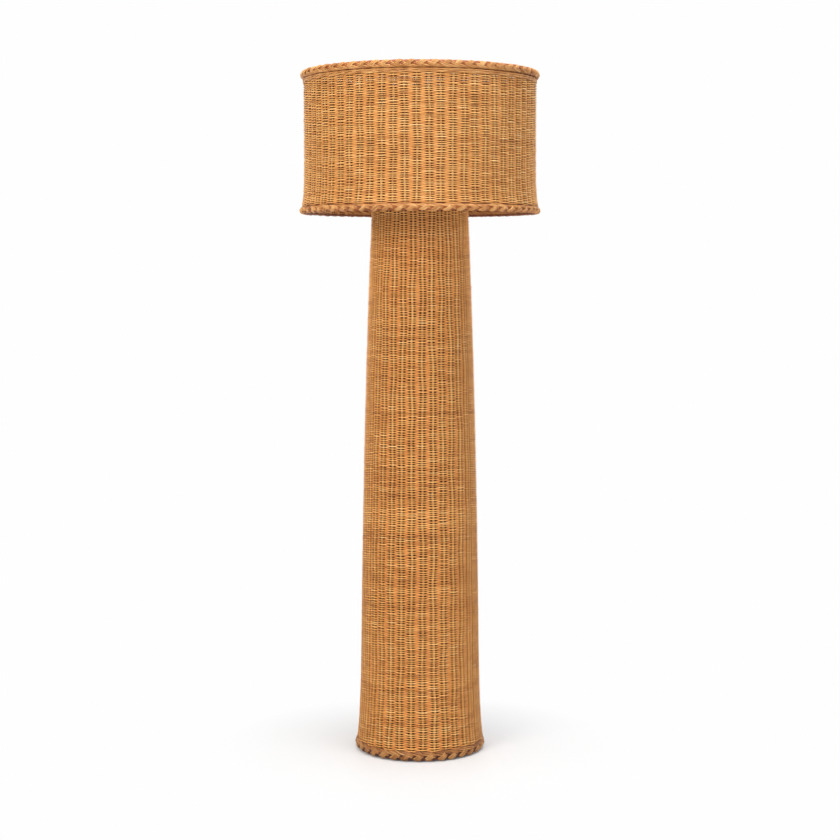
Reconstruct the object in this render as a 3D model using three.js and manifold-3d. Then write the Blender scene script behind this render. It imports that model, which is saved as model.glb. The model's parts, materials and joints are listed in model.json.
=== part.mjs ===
// Rattan floor lamp: a tapering woven column on a plaited foot, and a woven drum shade on a harp.
// Millimetres, Z up. The origin is on the floor, on the lamp's axis. The front is towards -Y.

import * as THREE from 'three';
import { mergeVertices } from 'three/addons/utils/BufferGeometryUtils.js';
import Module from 'manifold-3d';

// Overall sizes
const columnHeight = 1272; // floor to the top edge of the column's woven wall
const shadeRise = 278; // from there to the top of the shade
const shadeHeight = 320.5;

// Shade
const shadeDiameter = 527.4; // over the woven wall at its middle
const shadeFlare = 5.3; // how far the wall swells out into the bottom border
const shadeFlareHeight = 24;
const shadeStakes = 63; // upright canes, which the weavers pass over and under and the borders take up
const shadeWall = 10; // stake with a weaver on both sides
const topBorderProud = 5.3; // how far the border stands out from the wall beside it
const topBorderHeight = 27.4;
const bottomBorderProud = 3.7;
const bottomBorderHeight = 21.5;
const borderWidth = 17; // across a plaited border, from its inside to its outside
const hoopWire = 5;
const bottomHoopRise = 8; // from the bottom of the shade's wall to its wire hoop

// Column
const columnTopDiameter = 219;
const columnBodyDiameter = 275; // where the wall's long curve would meet the floor
const footFlare = 9; // how far the wall swells out at the foot
const footFlareHeight = 80;
const columnStakes = 33;
const columnWall = 10;
const footBorderProud = 2.6;
const footBorderHeight = 27;
const footBorderLift = 0.8; // the plait hangs just clear of the floor, the felt carries the lamp
const neckBorderProud = 3; // border on the column's top edge, inside the shade
const neckBorderHeight = 15;
const neckBorderWidth = 13;
const neckStrands = 17;

// Relief of the weave and of the plaited borders
const crestSink = 1.2; // from the weavers' outermost bends in to the wall's crests
const fluteDepth = 3; // how far the wall sinks further between two stakes
const strandDepth = 2.2; // how far a border sinks between two strands
const strandLeanShare = 1.35; // strand widths that a strand leans on its way from the outside to the inside
const ribSteps = 2; // facets across each stake or strand: one side up, one side down
const borderShares = [[1, 0], [0.62, 1], [-1, 1], [-1, -1], [0.62, -1]]; // section: half widths, half heights
const shadeOuterShares = [0, 0.12, 1]; // levels at which a wall is drawn, up its height
const shadeInnerShares = [0, 1];
const columnOuterShares = [0, 0.05, 0.16, 0.45, 0.74, 1];
const columnInnerShares = [0, 0.08, 0.5, 0.78, 1];

// Cane frame inside the column
const hoopCane = 9;
const hoopCount = 4;
const hoopInset = 14; // from the top plate to the middle of the hoop under it
const hoopClearance = 7.4; // from the cord's bushing to the hoop under it
const poleCane = 14;
const poleCount = 4;
const poleTurn = 45; // degrees from the side to the first pole, which leaves the back to the cord

// Base
const feltThickness = 3;
const weightThickness = 16;
const weightChamfer = 2;
const nutRecessDiameter = 36;
const nutRecessDepth = 10.5;
const footBoardThickness = 9;
const topPlateThickness = 12;
const topPlateRecess = 2; // the top plate lies this far below the woven edge

// Pipe, nuts and washers
const pipeDiameter = 10;
const pipeBore = 7;
const pipeTail = 1.2; // the pipe stops this far above the felt
const nutFlats = 16;
const nutHeight = 6;
const washerDiameter = 28;
const washerThickness = 1.5;
const cordHoleRise = 31.4; // from the foot board to the cord outlet in the pipe and in the wall behind
const cordBore = 7;
const bushingDiameter = 10.4;
const bushingFlange = 16;
const bushingFlangeThickness = 2;

// Neck and harp
const vaseCapDiameter = 64;
const vaseCapHeight = 6;
const vaseFlatShare = 0.36; // flat top of the cap, as a share of its radius
const vaseRimShare = 0.92; // and the foot of its slope
const neckDiameter = 19;
const neckWall = 2;
const neckHeight = 22;
const saddleThickness = 2;
const saddleWidth = 16;
const saddleArmWidth = 9;
const saddleShoulder = 10; // height of the ledge on which a ferrule stands
const saddleArmHeight = 17;
const harpLegSpacing = 54;
const harpWidth = 114;
const harpWire = 4.8; // also the width of the saddle's tongues, which a ferrule joins to the legs
const harpLegLength = 31; // straight part above the saddle
const harpTopFlat = 20;
const harpSteps = 40;
const harpWaistShare = 0.36; // height of the widest point, as a share of the bow
const harpShoulderShare = 0.6; // how far up from there the bow stays steep
const ferruleWall = 1.3;
const ferruleClearance = 0.5; // round the wire
const ferruleLength = 13;
const seatDiameter = 16;
const seatThickness = 3;
const studDiameter = 6.2;
const studLength = 15;

// Shade carrier and finial
const hubRecess = 30; // from the shade's top edge down to the top of the hub
const hubDiameter = 24;
const hubThickness = 2;
const hubClearance = 0.7; // round the harp's stud
const armWire = 4.4;
const armCount = 3;
const finialDiameter = 20;
const finialFoot = 14;
const finialFootHeight = 2.5;
const finialNeck = 9.8;
const finialNeckRise = 4.5;
const finialHeight = 27;
const finialBallAngle = -60; // degrees from the ball's middle down to where it meets the neck
const finialSteps = 8;
const finialClearance = 0.6; // round the stud
const finialTipGap = 2; // above it

// Lamp holder
const capHubDiameter = 14;
const capHubHeight = 8;
const capShoulder = 4; // height of the sloping part under the cup
const capOverlap = 3; // the cup ends this far above the insulator's foot, below the switch
const shellLip = 1.2;
const shellTop = 58; // height of the rim above the foot of the cap
const sheetMetal = 0.9;
const linerWall = 1;
const insulatorHeight = 16;
const insulatorRise = 15; // foot of the insulator above the foot of the cap
const contactDiameter = 5;
const contactHeight = 2;
const contactHole = 9;
const screwShellHeight = 22.5;
const screwShellWall = 0.7;

// Switch
const shaftDiameter = 4;
const shaftClearance = 0.6;
const shaftGrip = 6.9; // length of the shaft inside the knob
const knobDiameter = 16;
const knobLength = 12;
const knobFlutes = 12;
const knobFluteSteps = 3; // points of the knob's outline for each flute
const knobFluteDepth = 1;
const knobStandOff = 2.5; // from the shell to the knob

// Bulb
const bulbDiameter = 60;
const bulbThread = 26.2;
const bulbBaseHeight = 24;
const bulbBaseFloor = 4;
const bulbBaseFlat = 9; // flat bottom of the base, inside its cone
const bulbContactDiameter = 7;
const bulbContactHeight = 1.6;
const bulbCentreRise = 70; // from the foot of the metal base to the middle of the glass ball
const glassWall = 1.2;
const bulbShoulderAngle = 35; // degrees below the middle where the ball turns into the neck
const bulbSteps = 3; // points along each arc of the glass

// Fits
const gap = 0.3; // between two pieces that touch
const boreClearance = 0.4; // round the pipe, on each side
const overrun = 1; // how far a cutter passes the face that it cuts
const fineSteps = 12; // facets round a small turned piece
const middleSteps = 24;
const wideSteps = 32;
const wireSides = 6;

// Levels that several pieces share
const lampHeight = columnHeight + shadeRise;
const shadeBottom = lampHeight - shadeHeight;
const shadeWallBottom = shadeBottom + bottomBorderHeight + gap;
const shadeWallTop = lampHeight - topBorderHeight - gap;
const footBorderTop = footBorderLift + footBorderHeight;
const columnWallBottom = footBorderTop + gap;
const weightBottom = feltThickness + gap;
const weightTop = weightBottom + weightThickness;
const footBoardBottom = weightTop + gap;
const footBoardTop = footBoardBottom + footBoardThickness;
const cordHoleHeight = footBoardTop + cordHoleRise;
const topPlateTop = columnHeight - topPlateRecess;
const topPlateBottom = topPlateTop - topPlateThickness;
const neckBottom = topPlateTop + gap + vaseCapHeight + gap;
const saddleBottom = neckBottom + neckHeight + gap;
const saddleTop = saddleBottom + saddleThickness;
const capBottom = saddleTop + gap;
const insulatorBottom = capBottom + insulatorRise;
const insulatorTop = insulatorBottom + insulatorHeight;
const switchHeight = insulatorBottom + insulatorHeight / 2;
const bulbContactBottom = insulatorTop + gap + contactHeight + gap;
const bulbBaseBottom = bulbContactBottom + bulbContactHeight + gap;
const hubTop = lampHeight - hubRecess;
const seatTop = hubTop - hubThickness - gap;

// Radii that several pieces share
const boreRadius = pipeDiameter / 2 + boreClearance;
const studRadius = studDiameter / 2;
const screwShellRadius = bulbThread / 2 + gap + screwShellWall;
const linerRadius = screwShellRadius + gap + linerWall;
const shellRadius = linerRadius + gap + sheetMetal;

// Finishes
const rattan = { color: 0xd99a55, roughness: 0.62, metalness: 0 };
const darkRattan = { color: 0xb9773a, roughness: 0.68, metalness: 0 };
const border = { color: 0xdca05c, roughness: 0.58, metalness: 0 };
const plywood = { color: 0xcfae7f, roughness: 0.8, metalness: 0 };
const castIron = { color: 0x2c2c2e, roughness: 0.75, metalness: 0.6 };
const felt = { color: 0x3a3a38, roughness: 0.95, metalness: 0 };
const zincSteel = { color: 0xb9bcc0, roughness: 0.35, metalness: 1 };
const brass = { color: 0xc9a45a, roughness: 0.3, metalness: 1 };
const insulation = { color: 0x2b2420, roughness: 0.55, metalness: 0 };
const linerCard = { color: 0x8a6f4e, roughness: 0.85, metalness: 0 };
const blackPlastic = { color: 0x1b1b1c, roughness: 0.45, metalness: 0 };
const opalGlass = { color: 0xf4f1e8, roughness: 0.25, metalness: 0 };
const aluminium = { color: 0xc8cacc, roughness: 0.4, metalness: 1 };

const wasm = await Module();
wasm.setup();
const lamp = new THREE.Group();

// Adds one piece to the lamp.
function add(name, geometry, finish) {
  const piece = new THREE.Mesh(geometry, new THREE.MeshStandardMaterial(finish));
  piece.name = name;
  lamp.add(piece);
}

// Revolves an outline of [radius, height] points about Z. It may start and end on the axis.
function turned(outline, steps = fineSteps) {
  const points = outline.map(([radius, height]) => new THREE.Vector2(radius, height));
  if (THREE.ShapeUtils.area(points) < 0) points.reverse();
  if (points[0].x > 0 || points.at(-1).x > 0) points.push(points[0].clone());
  return new THREE.LatheGeometry(points, steps).rotateX(Math.PI / 2);
}

// A ring or a tube with square edges.
function sleeve(inner, outer, bottom, top, steps = fineSteps) {
  return turned([[inner, bottom], [outer, bottom], [outer, top], [inner, top]], steps);
}

// A round bar along Z.
function bar(radius, bottom, top, steps = fineSteps) {
  return turned([[0, bottom], [radius, bottom], [radius, top], [0, top]], steps);
}

// A round bar that runs from the axis towards the front or the back.
function crossBar(radius, nearY, farY, height, steps = fineSteps) {
  return bar(radius, nearY, farY, steps).rotateX(-Math.PI / 2).translate(0, 0, height);
}

// Welds a geometry's vertices and hands it over as a solid that can be cut and joined.
function solid(geometry) {
  const bare = geometry.clone();
  for (const name of ['normal', 'uv', 'color']) bare.deleteAttribute(name);
  const welded = mergeVertices(bare);
  const corners = welded.index.array;
  const kept = [];
  for (let i = 0; i < corners.length; i += 3) {
    const [a, b, c] = corners.slice(i, i + 3);
    if (a !== b && b !== c && c !== a) kept.push(a, b, c);
  }
  return new wasm.Manifold(new wasm.Mesh({
    numProp: 3,
    vertProperties: new Float32Array(welded.attributes.position.array),
    triVerts: new Uint32Array(kept),
  }));
}

function geometryOf(body) {
  const mesh = body.getMesh();
  const geometry = new THREE.BufferGeometry();
  geometry.setAttribute('position', new THREE.BufferAttribute(mesh.vertProperties, 3));
  geometry.setIndex(new THREE.BufferAttribute(mesh.triVerts, 1));
  geometry.computeVertexNormals();
  return geometry;
}

function cut(geometry, ...cutters) {
  return geometryOf(cutters.reduce((body, cutter) => body.subtract(solid(cutter)), solid(geometry)));
}

function join(...geometries) {
  return geometryOf(geometries.map(solid).reduce((body, other) => body.add(other)));
}

// Extrudes a closed outline of [x, y] points, with an optional round hole in its middle.
function extruded(outline, depth, holeRadius = 0, steps = fineSteps) {
  const shape = new THREE.Shape(outline.map(([x, y]) => new THREE.Vector2(x, y)));
  if (holeRadius > 0) shape.holes.push(new THREE.Path().absarc(0, 0, holeRadius, 0, 2 * Math.PI, true));
  return new THREE.ExtrudeGeometry(shape, { depth, bevelEnabled: false, curveSegments: steps });
}

// Moves each point of a turned piece: move gives its new distance and angle, its height stays.
function reshape(geometry, move) {
  const place = geometry.attributes.position;
  for (let i = 0; i < place.count; i++) {
    const [x, y, height] = [place.getX(i), place.getY(i), place.getZ(i)];
    const [radius, angle] = move(Math.hypot(x, y), Math.atan2(y, x), height);
    place.setXYZ(i, radius * Math.cos(angle), radius * Math.sin(angle), height);
  }
  return geometry;
}

// How deep a surface with so many ribs round it lies at an angle: 0 on a crest, 1 half way to the next.
const valley = (angle, ribs) => (1 - Math.cos(ribs * angle)) / 2;

// Outer radius of the column's wall, over its stakes: a long curve and a short flare at the foot.
function columnRadius(height) {
  const share = (height - columnWallBottom) / (columnHeight - columnWallBottom);
  const curve = (columnBodyDiameter - columnTopDiameter) / 2 * (1 - share * share);
  const flare = footFlare * Math.exp((columnWallBottom - height) / footFlareHeight);
  return columnTopDiameter / 2 + curve + flare;
}

function shadeRadius(height) {
  return shadeDiameter / 2 + shadeFlare * Math.exp((shadeWallBottom - height) / shadeFlareHeight);
}

// Levels between two heights, as shares of the way up.
const levels = (bottom, top, shares) => shares.map((share) => THREE.MathUtils.lerp(bottom, top, share));
const columnInnerLevels = levels(columnWallBottom, columnHeight, columnInnerShares);
const columnOuterLevels = levels(columnWallBottom, columnHeight, columnOuterShares);
const shadeInnerLevels = levels(shadeWallBottom, shadeWallTop, shadeInnerShares);
const shadeOuterLevels = levels(shadeWallBottom, shadeWallTop, shadeOuterShares);

// Radius of a wall between the levels where it is drawn, which straight facets join.
function drawnRadius(height, drawnLevels, radiusAt) {
  const upper = Math.max(1, drawnLevels.findIndex((level) => level >= height));
  const [low, high] = [drawnLevels[upper - 1], drawnLevels[upper]];
  return THREE.MathUtils.mapLinear(height, low, high, radiusAt(low), radiusAt(high));
}
const footOutside = columnRadius(columnWallBottom) + footBorderProud;
const columnOutside = (height) => drawnRadius(height, columnOuterLevels, columnRadius);
const columnInside = (height) => drawnRadius(height, columnInnerLevels, columnRadius) - columnWall;
const shadeInside = (height) => drawnRadius(height, shadeInnerLevels, shadeRadius) - shadeWall;

// A woven wall: a thin turned shell. Its outside keeps the mean height of the weave, on and between stakes.
function wovenWall(radiusAt, wall, outerHeights, innerHeights, stakes) {
  const outside = outerHeights.map((height) => [radiusAt(height), height]);
  const inside = innerHeights.map((height) => [radiusAt(height) - wall, height]).reverse();
  return reshape(turned([...outside, ...inside], stakes * ribSteps), (radius, angle, height) => {
    const outer = radius > radiusAt(height) - wall / 2;
    return [radius - (outer ? crestSink + fluteDepth * valley(angle, stakes) : 0), angle];
  });
}

// A plaited border: a ring with a rib for each strand, which leans away from the ring's outermost line.
function plaitedBorder(outside, width, bottom, height, strands) {
  const middleRadius = outside - width / 2;
  const middleHeight = bottom + height / 2;
  const outline = [];
  for (const [acrossShare, upShare] of borderShares) {
    outline.push([middleRadius + width / 2 * acrossShare, middleHeight + height / 2 * upShare]);
  }
  return reshape(turned(outline, strands * ribSteps), (radius, angle, level) => {
    const side = Math.atan2((level - middleHeight) / height, (radius - middleRadius) / width);
    const lean = 2 * Math.PI / strands * strandLeanShare * Math.abs(side) / Math.PI;
    const sink = strandDepth * valley(angle, strands) * Math.max(Math.cos(side), 0);
    return [radius - sink, angle + lean];
  });
}

function addShade() {
  const wall = wovenWall(shadeRadius, shadeWall, shadeOuterLevels, shadeInnerLevels, shadeStakes);
  add('shade_weave', wall, rattan);
  const topOutside = shadeRadius(shadeWallTop) + topBorderProud;
  const topBorder = plaitedBorder(
    topOutside, borderWidth, lampHeight - topBorderHeight, topBorderHeight, shadeStakes);
  add('shade_top_border', topBorder, border);
  const bottomOutside = shadeRadius(shadeWallBottom) + bottomBorderProud;
  const bottomBorder = plaitedBorder(
    bottomOutside, borderWidth, shadeBottom, bottomBorderHeight, shadeStakes);
  add('shade_bottom_border', bottomBorder, border);
  const hoopHeight = shadeWallBottom + bottomHoopRise;
  const hoopRadius = shadeInside(hoopHeight + hoopWire) - gap - hoopWire / 2;
  const hoop = new THREE.TorusGeometry(hoopRadius, hoopWire / 2, wireSides, wideSteps);
  add('shade_bottom_hoop', hoop.translate(0, 0, hoopHeight), zincSteel);
}

// Hub, three arms and the wire hoop under the top border, welded together.
function addShadeCarrier() {
  const hoopHeight = shadeWallTop - hoopWire;
  const hoopRadius = shadeInside(hoopHeight) - gap - hoopWire / 2;
  const hubMiddle = hubTop - hubThickness / 2;
  const parts = [
    sleeve(studRadius + hubClearance, hubDiameter / 2, hubTop - hubThickness, hubTop),
    new THREE.TorusGeometry(hoopRadius, hoopWire / 2, wireSides, wideSteps).translate(0, 0, hoopHeight),
  ];
  for (let i = 0; i < armCount; i++) {
    const angle = Math.PI / 2 + 2 * Math.PI * i / armCount;
    const [x, y] = [Math.cos(angle), Math.sin(angle)];
    const hubReach = hubDiameter / 2 - armWire / 2;
    const start = new THREE.Vector3(hubReach * x, hubReach * y, hubMiddle);
    const end = new THREE.Vector3(hoopRadius * x, hoopRadius * y, hoopHeight);
    parts.push(roundWire(new THREE.LineCurve3(start, end), armWire, 1));
  }
  add('shade_carrier', join(...parts), zincSteel);
}

// A round wire along a curve.
function roundWire(curve, diameter, steps, sides = wireSides) {
  const outline = new THREE.Shape();
  for (let i = 0; i < sides; i++) {
    const angle = 2 * Math.PI * i / sides;
    const [x, y] = [diameter / 2 * Math.cos(angle), diameter / 2 * Math.sin(angle)];
    if (i) outline.lineTo(x, y);
    else outline.moveTo(x, y);
  }
  return new THREE.ExtrudeGeometry(outline, { extrudePath: curve, steps, bevelEnabled: false });
}

function addFinial() {
  const bottom = hubTop + gap;
  const ballRadius = finialDiameter / 2;
  const ballCentre = bottom + finialHeight - ballRadius;
  const bore = studRadius + finialClearance;
  const boreTop = seatTop + studLength + finialTipGap;
  const outline = [
    [bore, bottom], [finialFoot / 2, bottom], [finialFoot / 2, bottom + finialFootHeight],
    [finialNeck / 2, bottom + finialNeckRise],
  ];
  for (let i = 1; i <= finialSteps; i++) {
    const angle = THREE.MathUtils.degToRad(THREE.MathUtils.lerp(finialBallAngle, 90, i / finialSteps));
    const radius = i < finialSteps ? ballRadius * Math.cos(angle) : 0;
    outline.push([radius, ballCentre + ballRadius * Math.sin(angle)]);
  }
  outline.push([0, boreTop], [bore, boreTop]);
  add('finial', turned(outline), brass);
}

function addColumn() {
  const wall = wovenWall(columnRadius, columnWall, columnOuterLevels, columnInnerLevels, columnStakes);
  const outside = columnOutside(cordHoleHeight - bushingFlange / 2);
  const inside = columnInside(cordHoleHeight + bushingFlange / 2);
  const cordHole = crossBar(bushingDiameter / 2 + gap, inside - overrun, outside + overrun, cordHoleHeight);
  add('column_weave', cut(wall, cordHole), rattan);
  add('cord_bushing', cordBushing(outside - crestSink), blackPlastic);
  const footBorder = plaitedBorder(
    footOutside, borderWidth, footBorderLift, footBorderHeight, columnStakes);
  add('foot_border', footBorder, border);
  const neckBorder = plaitedBorder(
    columnRadius(columnHeight) + neckBorderProud, neckBorderWidth, columnHeight + gap, neckBorderHeight,
    neckStrands);
  add('column_top_border', neckBorder, border);
}

// Flanged sleeve through which the supply cord leaves the column at the back.
function cordBushing(wallRadius) {
  const flangeInside = wallRadius + gap;
  const outline = [
    [cordBore / 2, flangeInside - columnWall - bushingFlangeThickness],
    [bushingDiameter / 2, flangeInside - columnWall - bushingFlangeThickness],
    [bushingDiameter / 2, flangeInside],
    [bushingFlange / 2, flangeInside],
    [bushingFlange / 2, flangeInside + bushingFlangeThickness],
    [cordBore / 2, flangeInside + bushingFlangeThickness],
  ];
  return turned(outline).rotateX(-Math.PI / 2).translate(0, 0, cordHoleHeight);
}

// Cane hoops under the weave, and the poles that they are nailed to.
function addCaneFrame() {
  const bottom = footBoardTop + gap;
  const top = topPlateBottom - gap;
  const lowest = cordHoleHeight - bushingDiameter / 2 - hoopClearance - hoopCane / 2;
  const heights = [];
  for (let i = 0; i < hoopCount; i++) {
    heights.push(THREE.MathUtils.lerp(lowest, topPlateBottom - hoopInset, i / (hoopCount - 1)));
  }
  const hoopRadii = heights.map((height) => columnInside(height + hoopCane / 2) - gap - hoopCane / 2);
  heights.forEach((height, i) => {
    const hoop = new THREE.TorusGeometry(hoopRadii[i], hoopCane / 2, wireSides, middleSteps);
    add(`frame_hoop_${i + 1}`, hoop.translate(0, 0, height), darkRattan);
  });
  const reaches = hoopRadii.map((radius) => radius - hoopCane / 2 - gap - poleCane / 2);
  for (let i = 0; i < poleCount; i++) {
    const angle = THREE.MathUtils.degToRad(poleTurn) + 2 * Math.PI * i / poleCount;
    const pole = bentPole(angle, [bottom, ...heights, top], [reaches[0], ...reaches, reaches.at(-1)]);
    add(`frame_pole_${i + 1}`, pole, darkRattan);
  }
}

// A pole that follows the column: its rings go to the given heights and reaches from the axis.
function bentPole(angle, heights, reaches) {
  const last = heights.length - 1;
  const radius = poleCane / 2;
  const pole = new THREE.CylinderGeometry(radius, radius, last, wireSides, last).rotateX(Math.PI / 2);
  const place = pole.attributes.position;
  for (let i = 0; i < place.count; i++) {
    const ring = Math.round(place.getZ(i) + last / 2);
    const [x, y] = [reaches[ring] * Math.cos(angle), reaches[ring] * Math.sin(angle)];
    place.setXYZ(i, place.getX(i) + x, place.getY(i) + y, heights[ring]);
  }
  return pole;
}

function addBase() {
  const radius = footOutside - borderWidth - gap;
  const middle = weightBottom + nutRecessDepth;
  add('base_felt', bar(radius - weightChamfer, 0, feltThickness, wideSteps), felt);
  add('base_weight', turned([
    [nutRecessDiameter / 2, weightBottom], [radius - weightChamfer, weightBottom],
    [radius, weightBottom + weightChamfer], [radius, weightTop - weightChamfer],
    [radius - weightChamfer, weightTop], [boreRadius, weightTop],
    [boreRadius, middle], [nutRecessDiameter / 2, middle],
  ], wideSteps), castIron);
  add('foot_board', sleeve(boreRadius, radius, footBoardBottom, footBoardTop, wideSteps), plywood);
  const plateRadius = columnInside(topPlateTop) - gap;
  add('top_plate', sleeve(boreRadius, plateRadius, topPlateBottom, topPlateTop, wideSteps), plywood);
}

// A hexagon nut round the pipe.
function hexNut(bottom) {
  const corner = nutFlats / 2 / Math.cos(Math.PI / 6);
  const outline = [];
  for (let i = 0; i < 6; i++) {
    const angle = Math.PI / 3 * i;
    outline.push([corner * Math.cos(angle), corner * Math.sin(angle)]);
  }
  return extruded(outline, nutHeight, pipeDiameter / 2 + gap).translate(0, 0, bottom);
}

function addPipe() {
  const bottom = feltThickness + pipeTail;
  const top = capBottom + capHubHeight;
  const pipe = sleeve(pipeBore / 2, pipeDiameter / 2, bottom, top);
  const cordHole = crossBar(cordBore / 2 - gap, 0, pipeDiameter / 2 + overrun, cordHoleHeight);
  add('center_pipe', cut(pipe, cordHole), zincSteel);
  const washerTop = weightBottom + nutRecessDepth - gap;
  const washerBottom = washerTop - washerThickness;
  const washer = (from) => sleeve(pipeDiameter / 2 + gap, washerDiameter / 2, from, from + washerThickness);
  add('base_washer', washer(washerBottom), zincSteel);
  add('base_nut', hexNut(washerBottom - gap - nutHeight), zincSteel);
  add('foot_washer', washer(footBoardTop + gap), zincSteel);
  add('foot_nut', hexNut(footBoardTop + gap + washerThickness + gap), zincSteel);
  add('plate_washer', washer(topPlateBottom - gap - washerThickness), zincSteel);
  add('plate_nut', hexNut(topPlateBottom - gap - washerThickness - gap - nutHeight), zincSteel);
}

function addNeck() {
  const bottom = topPlateTop + gap;
  const top = bottom + vaseCapHeight;
  const radius = vaseCapDiameter / 2;
  const [flat, rim] = [radius * vaseFlatShare, radius * vaseRimShare];
  add('vase_cap', turned([
    [boreRadius, top - sheetMetal], [flat, top - sheetMetal], [rim - sheetMetal, bottom], [radius, bottom],
    [radius, bottom + sheetMetal], [rim, bottom + sheetMetal], [flat + sheetMetal, top], [boreRadius, top],
  ], middleSteps), brass);
  const outer = neckDiameter / 2;
  add('neck_tube', sleeve(outer - neckWall, outer, neckBottom, neckBottom + neckHeight), brass);
}

// The strip that stands up on both sides of the lamp holder and takes the harp's legs.
function addSaddle() {
  const inside = harpLegSpacing / 2 - saddleThickness / 2;
  const outside = harpLegSpacing / 2 + saddleThickness / 2;
  const top = saddleBottom + saddleArmHeight;
  const strip = extruded([
    [-outside, -top], [-outside, -saddleBottom], [outside, -saddleBottom], [outside, -top],
    [inside, -top], [inside, -saddleTop], [-inside, -saddleTop], [-inside, -top],
  ], saddleWidth).translate(0, 0, -saddleWidth / 2).rotateX(-Math.PI / 2);
  const [wide, arm, tongue] = [saddleWidth / 2, saddleArmWidth / 2, harpWire / 2];
  const ledge = saddleBottom + saddleShoulder;
  const slope = saddleTop + (wide - arm);
  const [foot, tip] = [saddleBottom - overrun, top + overrun];
  const side = extruded([
    [-wide, foot], [wide, foot], [wide, saddleTop], [arm, slope], [arm, ledge], [tongue, ledge],
    [tongue, tip], [-tongue, tip], [-tongue, ledge], [-arm, ledge], [-arm, slope], [-wide, saddleTop],
  ], 2 * (outside + overrun)).translate(0, 0, -outside - overrun)
    .rotateX(Math.PI / 2).rotateZ(Math.PI / 2);
  const blank = solid(strip).intersect(solid(side));
  const hole = bar(boreRadius, saddleBottom - overrun, saddleTop + overrun);
  add('harp_saddle', geometryOf(blank.subtract(solid(hole))), brass);
}

// The bow that carries the shade: straight legs, a swelling waist and a flat top with a seat and a stud.
function addHarp() {
  const legBottom = saddleBottom + saddleArmHeight + gap;
  const legTop = legBottom + harpLegLength;
  const bowTop = seatTop - seatThickness / 2 - harpWire / 2;
  const waist = THREE.MathUtils.lerp(legTop, bowTop, harpWaistShare);
  const steep = THREE.MathUtils.lerp(waist, bowTop, harpShoulderShare);
  const between = (legTop + waist) / 2;
  const [leg, wide, flat] = [harpLegSpacing / 2, harpWidth / 2, harpTopFlat / 2];
  const at = (x, z) => new THREE.Vector3(x, 0, z);
  const half = (side) => [
    new THREE.LineCurve3(at(side * leg, legBottom), at(side * leg, legTop)),
    new THREE.CubicBezierCurve3(at(side * leg, legTop), at(side * leg, between), at(side * wide, between),
      at(side * wide, waist)),
    new THREE.CubicBezierCurve3(at(side * wide, waist), at(side * wide, steep),
      at(side * (wide + flat) / 2, bowTop), at(side * flat, bowTop)),
  ];
  const reverse = (curve) => (curve.isCubicBezierCurve3
    ? new THREE.CubicBezierCurve3(curve.v3, curve.v2, curve.v1, curve.v0)
    : new THREE.LineCurve3(curve.v2, curve.v1));
  const path = new THREE.CurvePath();
  half(-1).forEach((curve) => path.add(curve));
  path.add(new THREE.LineCurve3(at(-flat, bowTop), at(flat, bowTop)));
  half(1).reverse().forEach((curve) => path.add(reverse(curve)));
  const seat = bar(seatDiameter / 2, seatTop - seatThickness, seatTop);
  const stud = bar(studRadius, seatTop - seatThickness / 2, seatTop + studLength);
  add('harp', join(roundWire(path, harpWire, harpSteps), seat, stud), brass);
  const foot = saddleBottom + saddleShoulder + gap;
  const bore = harpWire / 2 + ferruleClearance;
  for (const [name, side] of [['harp_ferrule_left', -1], ['harp_ferrule_right', 1]]) {
    const ferrule = sleeve(bore, bore + ferruleWall, foot, foot + ferruleLength);
    add(name, ferrule.translate(side * leg, 0, 0), brass);
  }
}

// Cap and shell of the lamp holder, the card liner in the shell and the insulator with the switch.
function addLampHolder() {
  const shell = shellRadius;
  const [cupInside, cupOutside] = [shell + gap, shell + gap + sheetMetal];
  const hub = capHubDiameter / 2;
  const shoulder = capBottom + capHubHeight;
  const cupBottom = shoulder + capShoulder;
  const cupTop = insulatorBottom + capOverlap;
  add('socket_cap', turned([
    [boreRadius, capBottom], [hub, capBottom], [hub, shoulder - sheetMetal],
    [cupOutside, cupBottom - sheetMetal], [cupOutside, cupTop], [cupInside, cupTop], [cupInside, cupBottom],
    [hub, shoulder], [boreRadius, shoulder],
  ]), brass);
  const shellBottom = cupBottom + gap;
  const rim = capBottom + shellTop;
  const [neck, lip] = [rim - 2 * shellLip, rim - shellLip];
  const shaftHoleRadius = shaftDiameter / 2 + shaftClearance;
  const shaftHole = crossBar(shaftHoleRadius, -shell - overrun, 0, switchHeight);
  add('socket_shell', cut(turned([
    [shell - sheetMetal, shellBottom], [shell, shellBottom], [shell, neck], [shell + shellLip, lip],
    [shell + shellLip, rim], [shell, rim], [shell - sheetMetal, lip],
  ]), shaftHole), brass);
  const liner = sleeve(linerRadius - linerWall, linerRadius, shellBottom, neck);
  add('socket_liner', cut(liner, shaftHole), linerCard);
  const blindHole = crossBar(shaftHoleRadius, -linerRadius, -shaftDiameter / 2, switchHeight);
  const insulator = bar(screwShellRadius, insulatorBottom, insulatorTop);
  add('socket_insulator', cut(insulator, blindHole), insulation);
  addScrewShell();
}

function addScrewShell() {
  const inside = screwShellRadius - screwShellWall;
  const bottom = insulatorTop + gap;
  const top = bottom + screwShellHeight;
  add('screw_shell', turned([
    [contactHole / 2, bottom], [screwShellRadius, bottom], [screwShellRadius, top], [inside, top],
    [inside, bottom + screwShellWall], [contactHole / 2, bottom + screwShellWall],
  ]), brass);
  add('center_contact', bar(contactDiameter / 2, bottom, bottom + contactHeight), brass);
}

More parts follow.
